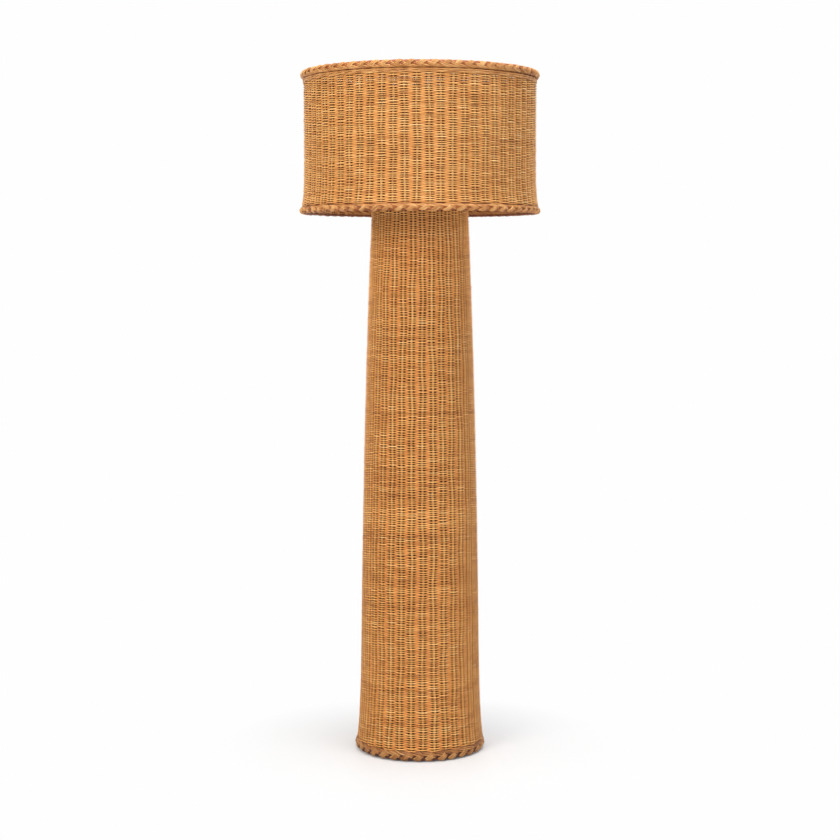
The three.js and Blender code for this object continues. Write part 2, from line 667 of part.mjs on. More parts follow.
// Fluted knob on a round shaft that reaches into the insulator.
function addSwitch() {
  const knobStart = shellRadius + knobStandOff;
  const shaftStart = shaftDiameter / 2 + gap;
  const shaftReach = knobStart + shaftGrip;
  add('switch_shaft', crossBar(shaftDiameter / 2, -shaftReach, -shaftStart, switchHeight), brass);
  const outline = [];
  for (let i = 0; i < knobFluteSteps * knobFlutes; i++) {
    const angle = 2 * Math.PI * i / (knobFluteSteps * knobFlutes);
    const radius = knobDiameter / 2 - (i % knobFluteSteps ? 0 : knobFluteDepth);
    outline.push([radius * Math.cos(angle), radius * Math.sin(angle)]);
  }
  const blank = extruded(outline, knobLength).rotateX(Math.PI / 2).translate(0, -knobStart, switchHeight);
  const socket = crossBar(shaftDiameter / 2 + gap, -shaftReach - gap, -knobStart + overrun, switchHeight);
  add('switch_knob', cut(blank, socket), blackPlastic);
}

// One side of the glass: up the neck, round the shoulder and over the ball to the axis.
function bulbOutline(inset) {
  const ball = bulbDiameter / 2 - inset;
  const centre = bulbBaseBottom + bulbCentreRise;
  const neck = bulbThread / 2 - sheetMetal - gap - inset;
  const shoulder = THREE.MathUtils.degToRad(-bulbShoulderAngle);
  const baseTop = bulbBaseBottom + bulbBaseHeight;
  const foot = bulbBaseBottom + bulbBaseFloor + gap;
  const shoulderHeight = centre + ball * Math.sin(shoulder);
  const path = new THREE.Path();
  path.moveTo(neck, foot);
  path.lineTo(neck, baseTop + gap);
  path.quadraticCurveTo(neck, (baseTop + shoulderHeight) / 2, ball * Math.cos(shoulder), shoulderHeight);
  path.absarc(0, centre, ball, shoulder, Math.PI / 2, false);
  const points = path.getPoints(bulbSteps).map((point) => [point.x, point.y]);
  points.at(-1)[0] = 0;
  return points;
}

function addBulb() {
  add('bulb_glass', turned([...bulbOutline(0), ...bulbOutline(glassWall).reverse()]), opalGlass);
  const [thread, flat] = [bulbThread / 2, bulbBaseFlat / 2];
  const top = bulbBaseBottom + bulbBaseHeight;
  const floor = bulbBaseBottom + bulbBaseFloor;
  add('bulb_base', turned([
    [0, bulbBaseBottom], [flat, bulbBaseBottom], [thread, bulbBaseBottom + (thread - flat) / 2],
    [thread, top], [thread - sheetMetal, top], [thread - sheetMetal, floor], [0, floor],
  ]), aluminium);
  const contact = bar(bulbContactDiameter / 2, bulbContactBottom, bulbContactBottom + bulbContactHeight);
  add('bulb_contact', contact, brass);
}

addBase();
addCaneFrame();
addColumn();
addPipe();
addNeck();
addSaddle();
addHarp();
addLampHolder();
addSwitch();
addBulb();
addShadeCarrier();
addShade();
addFinial();

export default lamp;
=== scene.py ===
import json
import math

import bmesh
import bpy
import numpy as np
from mathutils import Matrix, Vector
from mathutils.geometry import interpolate_bezier

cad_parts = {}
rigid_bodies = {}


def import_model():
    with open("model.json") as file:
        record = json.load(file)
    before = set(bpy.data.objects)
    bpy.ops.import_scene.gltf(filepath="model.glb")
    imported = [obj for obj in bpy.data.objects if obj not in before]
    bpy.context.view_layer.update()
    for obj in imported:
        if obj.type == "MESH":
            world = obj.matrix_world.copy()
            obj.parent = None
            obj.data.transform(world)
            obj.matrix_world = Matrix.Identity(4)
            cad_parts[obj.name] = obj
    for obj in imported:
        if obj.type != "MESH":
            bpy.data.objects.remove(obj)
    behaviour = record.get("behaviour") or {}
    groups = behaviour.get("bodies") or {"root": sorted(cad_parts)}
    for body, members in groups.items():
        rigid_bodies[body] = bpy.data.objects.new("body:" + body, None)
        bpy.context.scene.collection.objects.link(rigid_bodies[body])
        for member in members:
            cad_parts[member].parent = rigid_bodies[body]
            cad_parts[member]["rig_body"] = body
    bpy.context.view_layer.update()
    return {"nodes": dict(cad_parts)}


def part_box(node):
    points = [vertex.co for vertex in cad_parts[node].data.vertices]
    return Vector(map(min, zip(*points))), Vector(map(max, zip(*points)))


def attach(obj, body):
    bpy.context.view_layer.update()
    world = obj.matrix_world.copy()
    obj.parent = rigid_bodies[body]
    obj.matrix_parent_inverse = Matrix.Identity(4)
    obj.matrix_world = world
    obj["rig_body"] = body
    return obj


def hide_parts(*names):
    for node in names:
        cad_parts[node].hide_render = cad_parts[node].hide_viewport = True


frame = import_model()
mm = 0.001
turn = 2 * math.pi


# The piece stands for a CAD node: it moves with it, and the node is hidden.
def fit(piece, node):
    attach(piece, frame["nodes"][node]["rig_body"])
    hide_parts(node)
    return piece


# Camera: the photograph's own, solved from the lamp's outline
print("camera")
cameraView = {"place": (0, -4.030, 1.1091), "pitch": 4.934, "lens": 75.48, "sensor": 36}
camera = bpy.data.cameras.new("camera")
camera.lens = cameraView["lens"]
camera.sensor_width = cameraView["sensor"]
cameraObject = bpy.data.objects.new("camera", camera)
cameraObject.location = cameraView["place"]
cameraObject.rotation_euler = (math.radians(90 - cameraView["pitch"]), 0, 0)
bpy.context.collection.objects.link(cameraObject)
bpy.context.scene.camera = cameraObject
bpy.context.scene.view_settings.view_transform = "Standard"


# Materials

def linear(hexColour):
    channels = [int(hexColour[i:i + 2], 16) / 255 for i in (1, 3, 5)]
    return [c / 12.92 if c <= 0.04045 else ((c + 0.055) / 1.055) ** 2.4 for c in channels] + [1]


# Adds a node: settings of its own, values of its sockets, stops of a colour ramp, and what feeds it.
def addNode(tree, kind, values=None, links=None, stops=None, **settings):
    node = tree.nodes.new("ShaderNode" + kind)
    for name, value in settings.items():
        setattr(node, name, value)
    for socket, value in (values or {}).items():
        node.inputs[socket].default_value = value
    for socket, source in (links or {}).items():
        tree.links.new(source, node.inputs[socket])
    if stops:
        elements = node.color_ramp.elements
        while len(elements) < len(stops):
            elements.new(0.5)
        for element, (place, colour) in zip(elements, stops):
            element.position = place
            element.color = linear(colour) if isinstance(colour, str) else [colour] * 3 + [1]
    return node


def newMaterial(name):
    material = bpy.data.materials.new(name)
    material.use_nodes = True
    tree = material.node_tree
    tree.nodes.clear()
    shader = addNode(tree, "BsdfPrincipled")
    addNode(tree, "OutputMaterial", links={"Surface": shader.outputs[0]})
    return material, tree, shader


# Gives a shader its colour, and its gloss and relief from one grain. The relief is in millimetres.
def surface(tree, shader, colour, grain, roughness, strength, relief):
    rough = addNode(tree, "MapRange", {**noiseSpan, 3: roughness[0], 4: roughness[1]}, {0: grain})
    bump = addNode(tree, "Bump", {"Strength": strength, "Distance": relief * mm}, {"Height": grain})
    for socket, source in (("Base Color", colour), ("Roughness", rough.outputs[0]),
                           ("Normal", bump.outputs[0])):
        tree.links.new(source, shader.inputs[socket])
    return bump


noiseSpan = {1: 0.3, 2: 0.7}  # a noise texture's values mostly lie between these
tonePlaces = (0.05, 0.3, 0.55, 0.8, 1)  # where a cane's five tones stand, from its darkest to its palest
# what all the rattan shares: how much its fibres change its tone, the patches' share beside the cane's own
# tone, how far apart the patches of two canes are read, its gloss, and its relief in millimetres
rattan = {"fibres": 0.16, "patches": 0.5, "apart": 61.7, "roughness": (0.4, 0.58), "bump": 0.5,
          "relief": 0.15}


# Rattan core under a thin satin lacquer: each cane has its own honey tone, drifts along its length,
# and shows fine fibres. A ramp driven by a cane's depth paints shade into the hollows between the canes,
# and on the frame's canes it gives their dark joints.
# The fibres' scale is per metre along a cane and per turn round it, and the patches' is per metre.
def rattanCore(name, colours, hollows, fibreScale=(170, 7), patchScale=11):
    material, tree, shader = newMaterial(name)
    strand = addNode(tree, "Attribute", attribute_name="strand")
    parts = addNode(tree, "SeparateXYZ", links={0: strand.outputs["Vector"]})
    along, tone, depth = parts.outputs
    seed = addNode(tree, "Math", {1: rattan["apart"]}, {0: tone}, operation="MULTIPLY")
    drift = addNode(tree, "Math", {1: patchScale}, {0: along, 2: seed.outputs[0]}, operation="MULTIPLY_ADD")
    patches = addNode(tree, "TexNoise", {"Scale": 1, "Detail": 3, "Roughness": 0.6}, {"W": drift.outputs[0]},
                      noise_dimensions="1D")
    fibreMap = addNode(tree, "UVMap", uv_map="fibre")
    stretched = addNode(tree, "Mapping", {"Scale": (*fibreScale, 1)}, {0: fibreMap.outputs[0]})
    fibres = addNode(tree, "TexNoise", {"Scale": 1, "Detail": 4, "Roughness": 0.62},
                     {0: stretched.outputs[0]}, noise_dimensions="2D")
    spread = addNode(tree, "MapRange", {**noiseSpan, 3: 0, 4: 1}, {0: patches.outputs[0]})
    grain = addNode(tree, "MapRange", {**noiseSpan, 3: -rattan["fibres"], 4: rattan["fibres"]},
                    {0: fibres.outputs[0]})
    shared = addNode(tree, "Mix", {0: rattan["patches"]}, {2: tone, 3: spread.outputs[0]}, data_type="FLOAT")
    shade = addNode(tree, "Math", None, {0: shared.outputs[0], 1: grain.outputs[0]}, operation="ADD")
    colour = addNode(tree, "ValToRGB", None, {0: shade.outputs[0]}, stops=list(zip(tonePlaces, colours)))
    # painted shade in the hollows by depth, and on the frame's canes their dark joints
    stain = addNode(tree, "ValToRGB", None, {0: depth}, stops=[(0, "#ffffff"), *hollows])
    mixed = addNode(tree, "Mix", {0: 1}, {6: colour.outputs[0], 7: stain.outputs[0]}, data_type="RGBA",
                    blend_type="MULTIPLY")
    surface(tree, shader, mixed.outputs[2], fibres.outputs[0], rattan["roughness"], rattan["bump"],
            rattan["relief"])
    return material


honeyTones = ("#a76b32", "#ca8c46", "#dea45a", "#e7b672", "#efc88d")
columnMaterial = rattanCore("lacquered rattan core, column",
                            ("#a6692c", "#cf8b42", "#e7a657", "#f1bb70", "#f8cf8e"),
                            [(0.4, "#fbf4ec"), (0.54, "#f0dcc4"), (0.65, "#96603a"), (0.77, "#240e05")])
# the shade lets some light through, so the shade painted into its hollows is lighter
shadeMaterial = rattanCore("lacquered rattan core, shade", honeyTones,
                           [(0.4, "#fdf8f2"), (0.54, "#f7ebdb"), (0.66, "#d0a67a"), (0.8, "#8c5f38")])
# the borders' canes were soaked to bend them, and dried a little browner; the foot's copy is darker in
# tone, and the shade painted into its hollows is deeper
plaitMaterial = rattanCore("lacquered rattan core, plaited",
                           ("#8f5826", "#b1763a", "#c88e4e", "#d7a465", "#e5bb82"),
                           [(0.43, "#f8efe6"), (0.62, "#d2aa84"), (0.9, "#a67852")], (120, 9), 14)
footMaterial = rattanCore("lacquered rattan core, plaited at the foot",
                          ("#77461b", "#955e2a", "#a97238", "#b9874b", "#ca9d66"),
                          [(0.4, "#f0e4d6"), (0.55, "#8a5a34"), (0.85, "#3c1c0a")], (120, 9), 14)
stakeMaterial = rattanCore("lacquered rattan stake", honeyTones, [(0.43, "#f8efe6")], (60, 10), 7)
# the thin stakes behind the weave's holes: no lacquer reaches them, so they are dull, and their outer
# side is painted in shade
byeMaterial = rattanCore("bare rattan bye-stake", honeyTones, [(0.5, "#d9b48c"), (0.9, "#3f1a0b")],
                         (60, 10), 7)
byeMaterial.node_tree.nodes["Principled BSDF"].inputs["Specular IOR Level"].default_value = 0.08


# Canes: tubes along paths, with a tone and a depth at each point

# Makes one mesh of round canes. A cane is a dictionary: points (n, 3), radius (n) or a number,
# along (n) in metres, tone (n) or a number, depth (n) or a number, and closed. The rattan finishes turn
# the depth into painted shade, and on the frame's canes into dark joints. The side that faces the lamp's
# axis takes the depth called inner, where there is one. The groove, painted shade along a cane's top and
# bottom where it meets the rows beside it, is added to it above and below.
def makeCanes(name, canes, material, sides=6, rowLength=None, twist="Z_UP", groove=0):
    curve = bpy.data.curves.new(name, "CURVE")
    curve.dimensions = "3D"
    curve.bevel_mode = "ROUND"
    curve.bevel_depth = 1
    curve.bevel_resolution = sides // 2 - 2
    curve.twist_mode = twist
    facts, starts, counts = [], [], []
    for cane in canes:
        points = np.asarray(cane["points"], float)
        count = len(points)
        spline = curve.splines.new("POLY")
        spline.points.add(count - 1)
        spline.points.foreach_set("co", np.column_stack([points, np.ones(count)]).ravel())
        radius = np.broadcast_to(cane["radius"], count).astype(float).copy()
        spline.points.foreach_set("radius", radius)
        spline.use_cyclic_u = cane.get("closed", False)
        starts.append(sum(counts))
        counts.append(count)
        along = cane.get("along")
        if along is None:
            along = np.concatenate([[0], np.cumsum(np.linalg.norm(np.diff(points, axis=0), axis=1))])
        depth = cane.get("depth", 0)
        columns = (along, cane["tone"], depth, cane.get("inner", depth))
        facts.append(np.column_stack([np.broadcast_to(column, count) for column in columns]))
    holder = bpy.data.objects.new(name + "_curve", curve)
    bpy.context.collection.objects.link(holder)
    shown = holder.evaluated_get(bpy.context.evaluated_depsgraph_get())
    mesh = bpy.data.meshes.new_from_object(shown)
    bpy.data.objects.remove(holder)
    facts = np.vstack(facts)
    places = np.zeros(len(mesh.vertices) * 3)
    mesh.vertices.foreach_get("co", places)
    centres = np.repeat(np.vstack([cane["points"] for cane in canes]), sides, axis=0)
    offset = places.reshape(-1, 3) - centres
    outward = (offset[:, :2] * centres[:, :2]).sum(axis=1)
    outward /= np.linalg.norm(centres[:, :2], axis=1) * np.linalg.norm(offset, axis=1)
    values = np.repeat(facts, sides, axis=0)
    values[:, 2] += (values[:, 3] - values[:, 2]) * np.clip(-1.5 * outward, 0, 1)
    # painted shade along each cane's top and bottom, by the groove
    values[:, 2] += groove * offset[:, 2] ** 2 / (offset ** 2).sum(axis=1)
    strand = mesh.attributes.new("strand", "FLOAT_VECTOR", "POINT")
    strand.data.foreach_set("vector", values[:, :3].ravel().astype(np.float32))
    mapCanes(mesh, facts, np.array(starts), np.array(counts), sides, rowLength)
    mesh.polygons.foreach_set("use_smooth", np.ones(len(mesh.polygons), bool))
    closeTips(mesh, np.array(starts), np.array(counts), sides, canes)
    mesh.materials.clear()
    mesh.materials.append(material)
    piece = bpy.data.objects.new(name, mesh)
    bpy.context.collection.objects.link(piece)
    return piece


# Lays each cane out flat, in rows: one map for its fibres in real lengths, one for baking.
def mapCanes(mesh, facts, starts, counts, sides, rowLength):
    corners = np.zeros(len(mesh.loops), np.int32)
    mesh.loops.foreach_get("vertex_index", corners)
    corners = corners.reshape(-1, 4)
    ring = corners % sides
    ring = np.where((ring == 0) & (ring.max(axis=1, keepdims=True) == sides - 1), sides, ring)
    point = corners // sides
    cane = np.searchsorted(starts, point[:, 0], side="right") - 1
    local = point - starts[cane][:, None]
    wraps = (local.max(axis=1) - local.min(axis=1)) > 1
    local = np.where(wraps[:, None] & (local == 0), counts[cane][:, None], local)
    along = facts[np.minimum(point, len(facts) - 1), 0]
    last = wraps[:, None] & (local == counts[cane][:, None])
    along = np.where(last, along.max(axis=1, keepdims=True), along)
    rowLength = rowLength or int(counts.max())
    rowsBefore = np.concatenate([[0], np.cumsum(-(-counts // rowLength))])
    row = local.min(axis=1) // rowLength
    across = (local - (row * rowLength)[:, None]) / rowLength
    height = (rowsBefore[cane] + row)[:, None] + 0.06 + 0.88 * ring / sides
    while mesh.uv_layers:
        mesh.uv_layers.remove(mesh.uv_layers[0])
    seeds = (cane * 1.37)[:, None]
    for name, u, v in (("OFBake", across, height / rowsBefore[-1]), ("fibre", along, ring / sides + seeds)):
        layer = mesh.uv_layers.new(name=name)
        layer.data.foreach_set("uv", np.stack([u, v], axis=-1).ravel().astype(np.float32))


# Draws the last ring at each end of an open cane together to a point and welds it.
def closeTips(mesh, starts, counts, sides, canes):
    bm = bmesh.new()
    bm.from_mesh(mesh)
    bm.verts.ensure_lookup_table()
    welded = {}
    for start, count, cane in zip(starts, counts, canes):
        if not cane.get("closed", False):
            for tip in (start, start + count - 1):
                ends = [bm.verts[tip * sides + i] for i in range(sides)]
                ends[0].co = sum((vertex.co for vertex in ends), Vector()) / sides
                welded.update({vertex: ends[0] for vertex in ends[1:]})
    if welded:
        bmesh.ops.weld_verts(bm, targetmap=welded)
    bm.to_mesh(mesh)
    bm.free()


# The two woven walls

# behind: how much painted shade the thin stakes beside each stake take on their outer side
columnWall = {
    "bottom": 21.5, "top": 1272, "stakes": 33, "rowPitch": 2.62, "bands": 6, "weaver": 1.42,
    "radius": lambda z: 109.5 + 28 * (1 - ((z - 28.1) / 1243.9) ** 2) + 9 * np.exp((28.1 - z) / 80),
    "behind": 0.95, "seed": 11, "meander": 1.5, "meanderLengths": (620, 340, 190, 110),
    "material": columnMaterial,
}
shadeWall = {
    "bottom": 1244.5, "top": 1525, "stakes": 63, "rowPitch": 2.52, "bands": 3, "weaver": 1.53,
    "radius": lambda z: 263.7 + 5.3 * np.exp((1251.3 - np.maximum(z, 1251.3)) / 24),
    "behind": 0.78, "seed": 23, "meander": 1.2, "meanderLengths": (300, 170, 95),
    "material": shadeMaterial,
}
# How a weaver passes a stake, in shares of the stakes' spacing and of its swing: it keeps near the crown's
# height out to near, and has come down to low at far. Inside the wall its swing is flatter.
passing = {"near": 0.2, "far": 0.4, "bent": 0.84, "low": 0.14, "inside": 0.78, "spread": 0.1}
# the canes: radii and places in millimetres, the length of a weaver's cane in metres
# groove: how much painted shade lies along each weaver's top and bottom
weave = {"stake": 2.3, "stakeStep": 18, "stakeTones": (0.3, 0.8), "overlap": 8,
         "caneLength": 2.3, "caneTones": (4.4, 3.8), "squeeze": 0.15, "unevenness": 0.06, "groove": 0.1,
         "byeStake": 2.6, "byePlace": 5, "byeInset": 2.2, "byeTones": (0, 0.4)}
# Rows crowd here and spread there: waves a few rows high, which lean as they go round. The canes of a row
# that has room swell, within limits, and the first and last rows lie straight.
crowding = {"waves": 14, "rowsHigh": (2.6, 14), "leans": (-7, 8), "share": 0.13, "jitter": 0.05,
            "swell": (0.85, 1.35), "straightRows": 5}


# Angle of each stake at a height: evenly spaced, a little off, and wandering on the way up.
def stakeAngles(wall, index, z):
    random = np.random.default_rng(wall["seed"])
    shifts = random.normal(0, 0.5, wall["stakes"])
    phases = random.uniform(0, turn, (wall["stakes"], len(wall["meanderLengths"])))
    wander = np.zeros(np.shape(z))
    stake = np.asarray(index) % wall["stakes"]
    for k, length in enumerate(wall["meanderLengths"]):
        wander = wander + np.sin(turn * z / length + phases[stake, k])
    wander = wander * wall["meander"] / math.sqrt(len(wall["meanderLengths"])) + shifts[stake]
    return turn * np.asarray(index) / wall["stakes"] + wander / wall["radius"](z)


def onCircle(radius, angle, z):
    return np.stack([radius * np.cos(angle), radius * np.sin(angle), z], axis=-1) * mm


def ring(radius, z, steps):
    angles = np.arange(steps) * turn / steps
    return onCircle(radius + 0 * angles, angles, z + 0 * angles)


# One weaver winds up the wall in front of one stake and behind the next. With an odd number of
# stakes it changes sides from row to row by itself, as in the real lamp.
def weavers(name, wall):
    random = np.random.default_rng(wall["seed"] + 1)
    stakes = wall["stakes"]
    lift = weave["stake"] + wall["weaver"]
    rows = round((wall["top"] - wall["bottom"] - 2 * wall["weaver"]) / wall["rowPitch"])
    crossings = np.arange(rows * stakes + 1)
    z = wall["bottom"] + wall["weaver"] + wall["rowPitch"] * crossings / stakes
    angle = stakeAngles(wall, crossings, z)
    side = np.where(crossings % 2 == 0, 1.0, -passing["inside"])
    bulge = side * lift + random.normal(0, passing["spread"], len(crossings))
    step = turn / stakes
    # five points for each crossing, from before the stake to after it
    near, far, bent, low = (passing[key] for key in ("near", "far", "bent", "low"))
    angles = np.stack([angle - far * step, angle - near * step, angle, angle + near * step,
                       angle + far * step], axis=1).ravel()
    heights = np.repeat(z, 5)
    reach = np.stack([bulge * low, bulge * bent, bulge, bulge * bent, bulge * low], axis=1).ravel()
    angles, heights, reach = angles[2:-2], heights[2:-2], reach[2:-2]
    row = (heights - wall["bottom"]) / wall["rowPitch"]
    shift = random.normal(0, crowding["jitter"], len(heights))
    spacing = np.ones(len(heights))
    share = crowding["share"] * math.sqrt(2 / crowding["waves"])
    for _ in range(crowding["waves"]):
        rowsHigh, leans = random.uniform(*crowding["rowsHigh"]), random.integers(*crowding["leans"])
        phase = turn * row / rowsHigh + leans * angles + random.uniform(0, turn)
        spacing += share * np.cos(phase)
        shift += share * wall["rowPitch"] * rowsHigh / turn * np.sin(phase)
    heights = heights + shift * np.clip(np.minimum(row, row[-1] - row) / crowding["straightRows"], 0, 1)
    radius = wall["radius"](heights) - lift - wall["weaver"] + reach
    points = onCircle(radius, angles, heights)
    along = np.concatenate([[0], np.cumsum(np.linalg.norm(np.diff(points, axis=0), axis=1))])
    number = (along / weave["caneLength"]).astype(int)
    tones = random.beta(*weave["caneTones"], number[-1] + 1)[number]
    thickness = wall["weaver"] * (1 + weave["unevenness"] * random.normal(0, 1, number[-1] + 1)[number])
    # how far back each point lies, which the finish paints in shade
    depth = np.clip((lift - reach) / (2 * lift), 0, 1)
    thickness = thickness * (1 + weave["squeeze"] * (2 * depth - 1)) * np.clip(spacing, *crowding["swell"])
    perRow = stakes * 5
    pieces = []
    for band in range(wall["bands"]):
        first = round(rows * band / wall["bands"]) * perRow
        last = min(round(rows * (band + 1) / wall["bands"]) * perRow, len(points) - 1)
        part = slice(first, last + 1)
        pieces.append(makeCanes(f"{name}_{band + 1}", [{
            "points": points[part], "radius": thickness[part] * mm, "along": along[part],
            "tone": tones[part], "depth": depth[part], "inner": 1 - depth[part]}], wall["material"],
            rowLength=perRow, groove=weave["groove"]))
    return pieces


# The upright stakes of a wall, with a thinner one on both sides of each, set back, which fills the
# weave's holes; the thin ones are painted in shade on their outer side, which keeps the holes dark.
def stakeCanes(name, wall):
    random = np.random.default_rng(wall["seed"] + 2)
    z = np.linspace(wall["bottom"] - weave["overlap"], wall["top"] + weave["overlap"],
                    int((wall["top"] - wall["bottom"]) / weave["stakeStep"]))
    lift = weave["stake"] + wall["weaver"]
    stakes, byeStakes = [], []
    for index in range(wall["stakes"]):
        angle = stakeAngles(wall, np.full(len(z), index), z)
        radius = wall["radius"](z) - lift - wall["weaver"]
        stakes.append({"points": onCircle(radius, angle, z), "radius": weave["stake"] * mm,
                       "tone": random.uniform(*weave["stakeTones"]), "depth": 0.4})
        for side in (-1, 1):
            beside = angle + side * weave["byePlace"] / radius
            # painted shade on the thin stake's outer side; its inner side stays light
            byeStakes.append({"points": onCircle(radius - weave["byeInset"], beside, z),
                              "radius": weave["byeStake"] * mm, "tone": random.uniform(*weave["byeTones"]),
                              "depth": wall["behind"], "inner": 0.3})
    return [makeCanes(name + "_stakes", stakes, stakeMaterial),
            makeCanes(name + "_bye_stakes", byeStakes, byeMaterial)]


print("woven walls")
for name, wall in (("column", columnWall), ("shade", shadeWall)):
    for piece in weavers(name + "_weavers", wall) + stakeCanes(name, wall):
        fit(piece, name + "_weave")


# Plaited borders

# A smooth line through given points: rounds the corners of shares by a Catmull-Rom spline.
def smoothLine(shares, count):
    shares = np.asarray(shares, float)
    padded = np.vstack([2 * shares[0] - shares[1], shares, 2 * shares[-1] - shares[-2]])
    places = np.linspace(0, len(shares) - 1, count)
    index = np.minimum(places.astype(int), len(shares) - 2)
    t = (places - index)[:, None]
    a, b, c, d = (padded[index + k] for k in range(4))
    square, cube = 2 * a - 5 * b + 4 * c - d, 3 * b - a - 3 * c + d
    return 0.5 * (2 * b + (c - a) * t + square * t ** 2 + cube * t ** 3)


# How a border's strand runs round its roll: pitches along the rim, degrees round the section from
# outside over the top, lift in cane radii, and depth, how much painted shade it takes there. It comes
# over the top, leans down, dives under the next strand's end, and goes on below and up the inside.
leafPath = [
    (-1.0, 214, -1.4, 0.3), (-0.84, 190, 0.0, 0.1), (-0.62, 158, 0.9, 0), (-0.4, 124, 0.9, 0),
    (-0.18, 96, 0.5, 0.2), (0.04, 74, 0.5, 0.4), (0.28, 56, 1.0, 0.1), (0.58, 40, 1.3, 0),
    (0.84, 25, 1.1, 0), (1.0, 13, 0.5, 0.3), (1.12, 2, -0.3, 0.6), (1.3, -20, -0.7, 0.66),
    (1.46, -46, -0.3, 0.4), (1.64, -74, 0.2, 0.3), (1.84, -104, 0.4, 0.4), (2.04, -134, 0.2, 0.3),
    (2.2, -162, -1.2, 0.3),
]
# the end of the strand before, which comes from below and crosses back up over the leaf's lower part
lockPath = [
    (1.1, -104, -0.8, 0.6), (1.26, -72, 0.3, 0.2), (1.42, -43, 1.0, 0), (1.56, -16, 1.6, 0),
    (1.69, 4, 1.5, 0), (1.79, 17, 0.1, 0.5), (1.86, 26, -1.6, 0.8),
]
# the stakes' ends that fill the roll: degrees round the section, how far in they lie in cane radii, and
# depth, how much painted shade they take
coreRings = [(0, 0.8, 0.66), (45, 0.9, 0.66), (90, 0.8, 0.6), (135, 0.5, 0.3), (180, 0.3, 0.1),
             (225, 0.3, 0.3), (270, 0, 0.6), (315, 0.5, 0.66)]
borders = {
    "foot_border_plait": {
        "node": "foot_border", "outside": 149.1, "bottom": 0.8, "top": 24.8, "width": 15, "strands": 33,
        "cane": 2.0, "locks": 3, "steps": 24, "seed": 5, "turned": 1, "under": 0.6, "material": footMaterial},
    "shade_top_plait": {
        "node": "shade_top_border", "outside": 269, "bottom": 1531.2, "top": 1550, "width": 17, "strands": 63,
        "cane": 1.55, "locks": 3, "steps": 24, "seed": 6, "turned": -1, "under": 0},
    "shade_bottom_plait": {
        "node": "shade_bottom_border", "outside": 272.7, "bottom": 1229.5, "top": 1247, "width": 17,
        "strands": 63, "cane": 1.5, "locks": 3, "steps": 24, "seed": 7, "turned": 1, "under": 0.85,
        "backing": (262.2, 1248.4, 2.6)},
    "neck_border_plait": {
        "node": "column_top_border", "outside": 112.5, "bottom": 1272.3, "top": 1287.3, "width": 13,
        "strands": 33, "cane": 1.3, "locks": 2, "steps": 20, "seed": 8, "turned": -1, "under": 0},
}


# What the borders' plaits share. Inset: how far within the roll's outline its strands' surface lies, in
# cane radii. Jitter: of a strand's place along the rim, its degrees, its lift and its depth. Crown and
# shaded: how far a strand's middle cane stands out, and the leaf's upper one lies back, in cane radii.
# Shadow and darkest: the painted shadow that the leaf's upper cane takes, and the darkest it may get.
plaiting = {"inset": 2.4, "jitter": (0.04, 3, 0.15, 0.03), "tones": (2.6, 2.2), "toneJitter": 0.1,
            "apart": 0.95, "crown": 0.45, "shaded": -0.4, "shadow": 0.45, "darkest": 0.66,
            "unevenness": 0.05, "lockSteps": 11, "core": 1.25, "coreTone": 0.4}


# How much painted shade a roll takes on its lower side, a little to the inside.
def undersideShade(border, around):
    return border["under"] * np.clip(2.4 * np.cos(around + math.radians(122)) - 1.2, 0, 1)


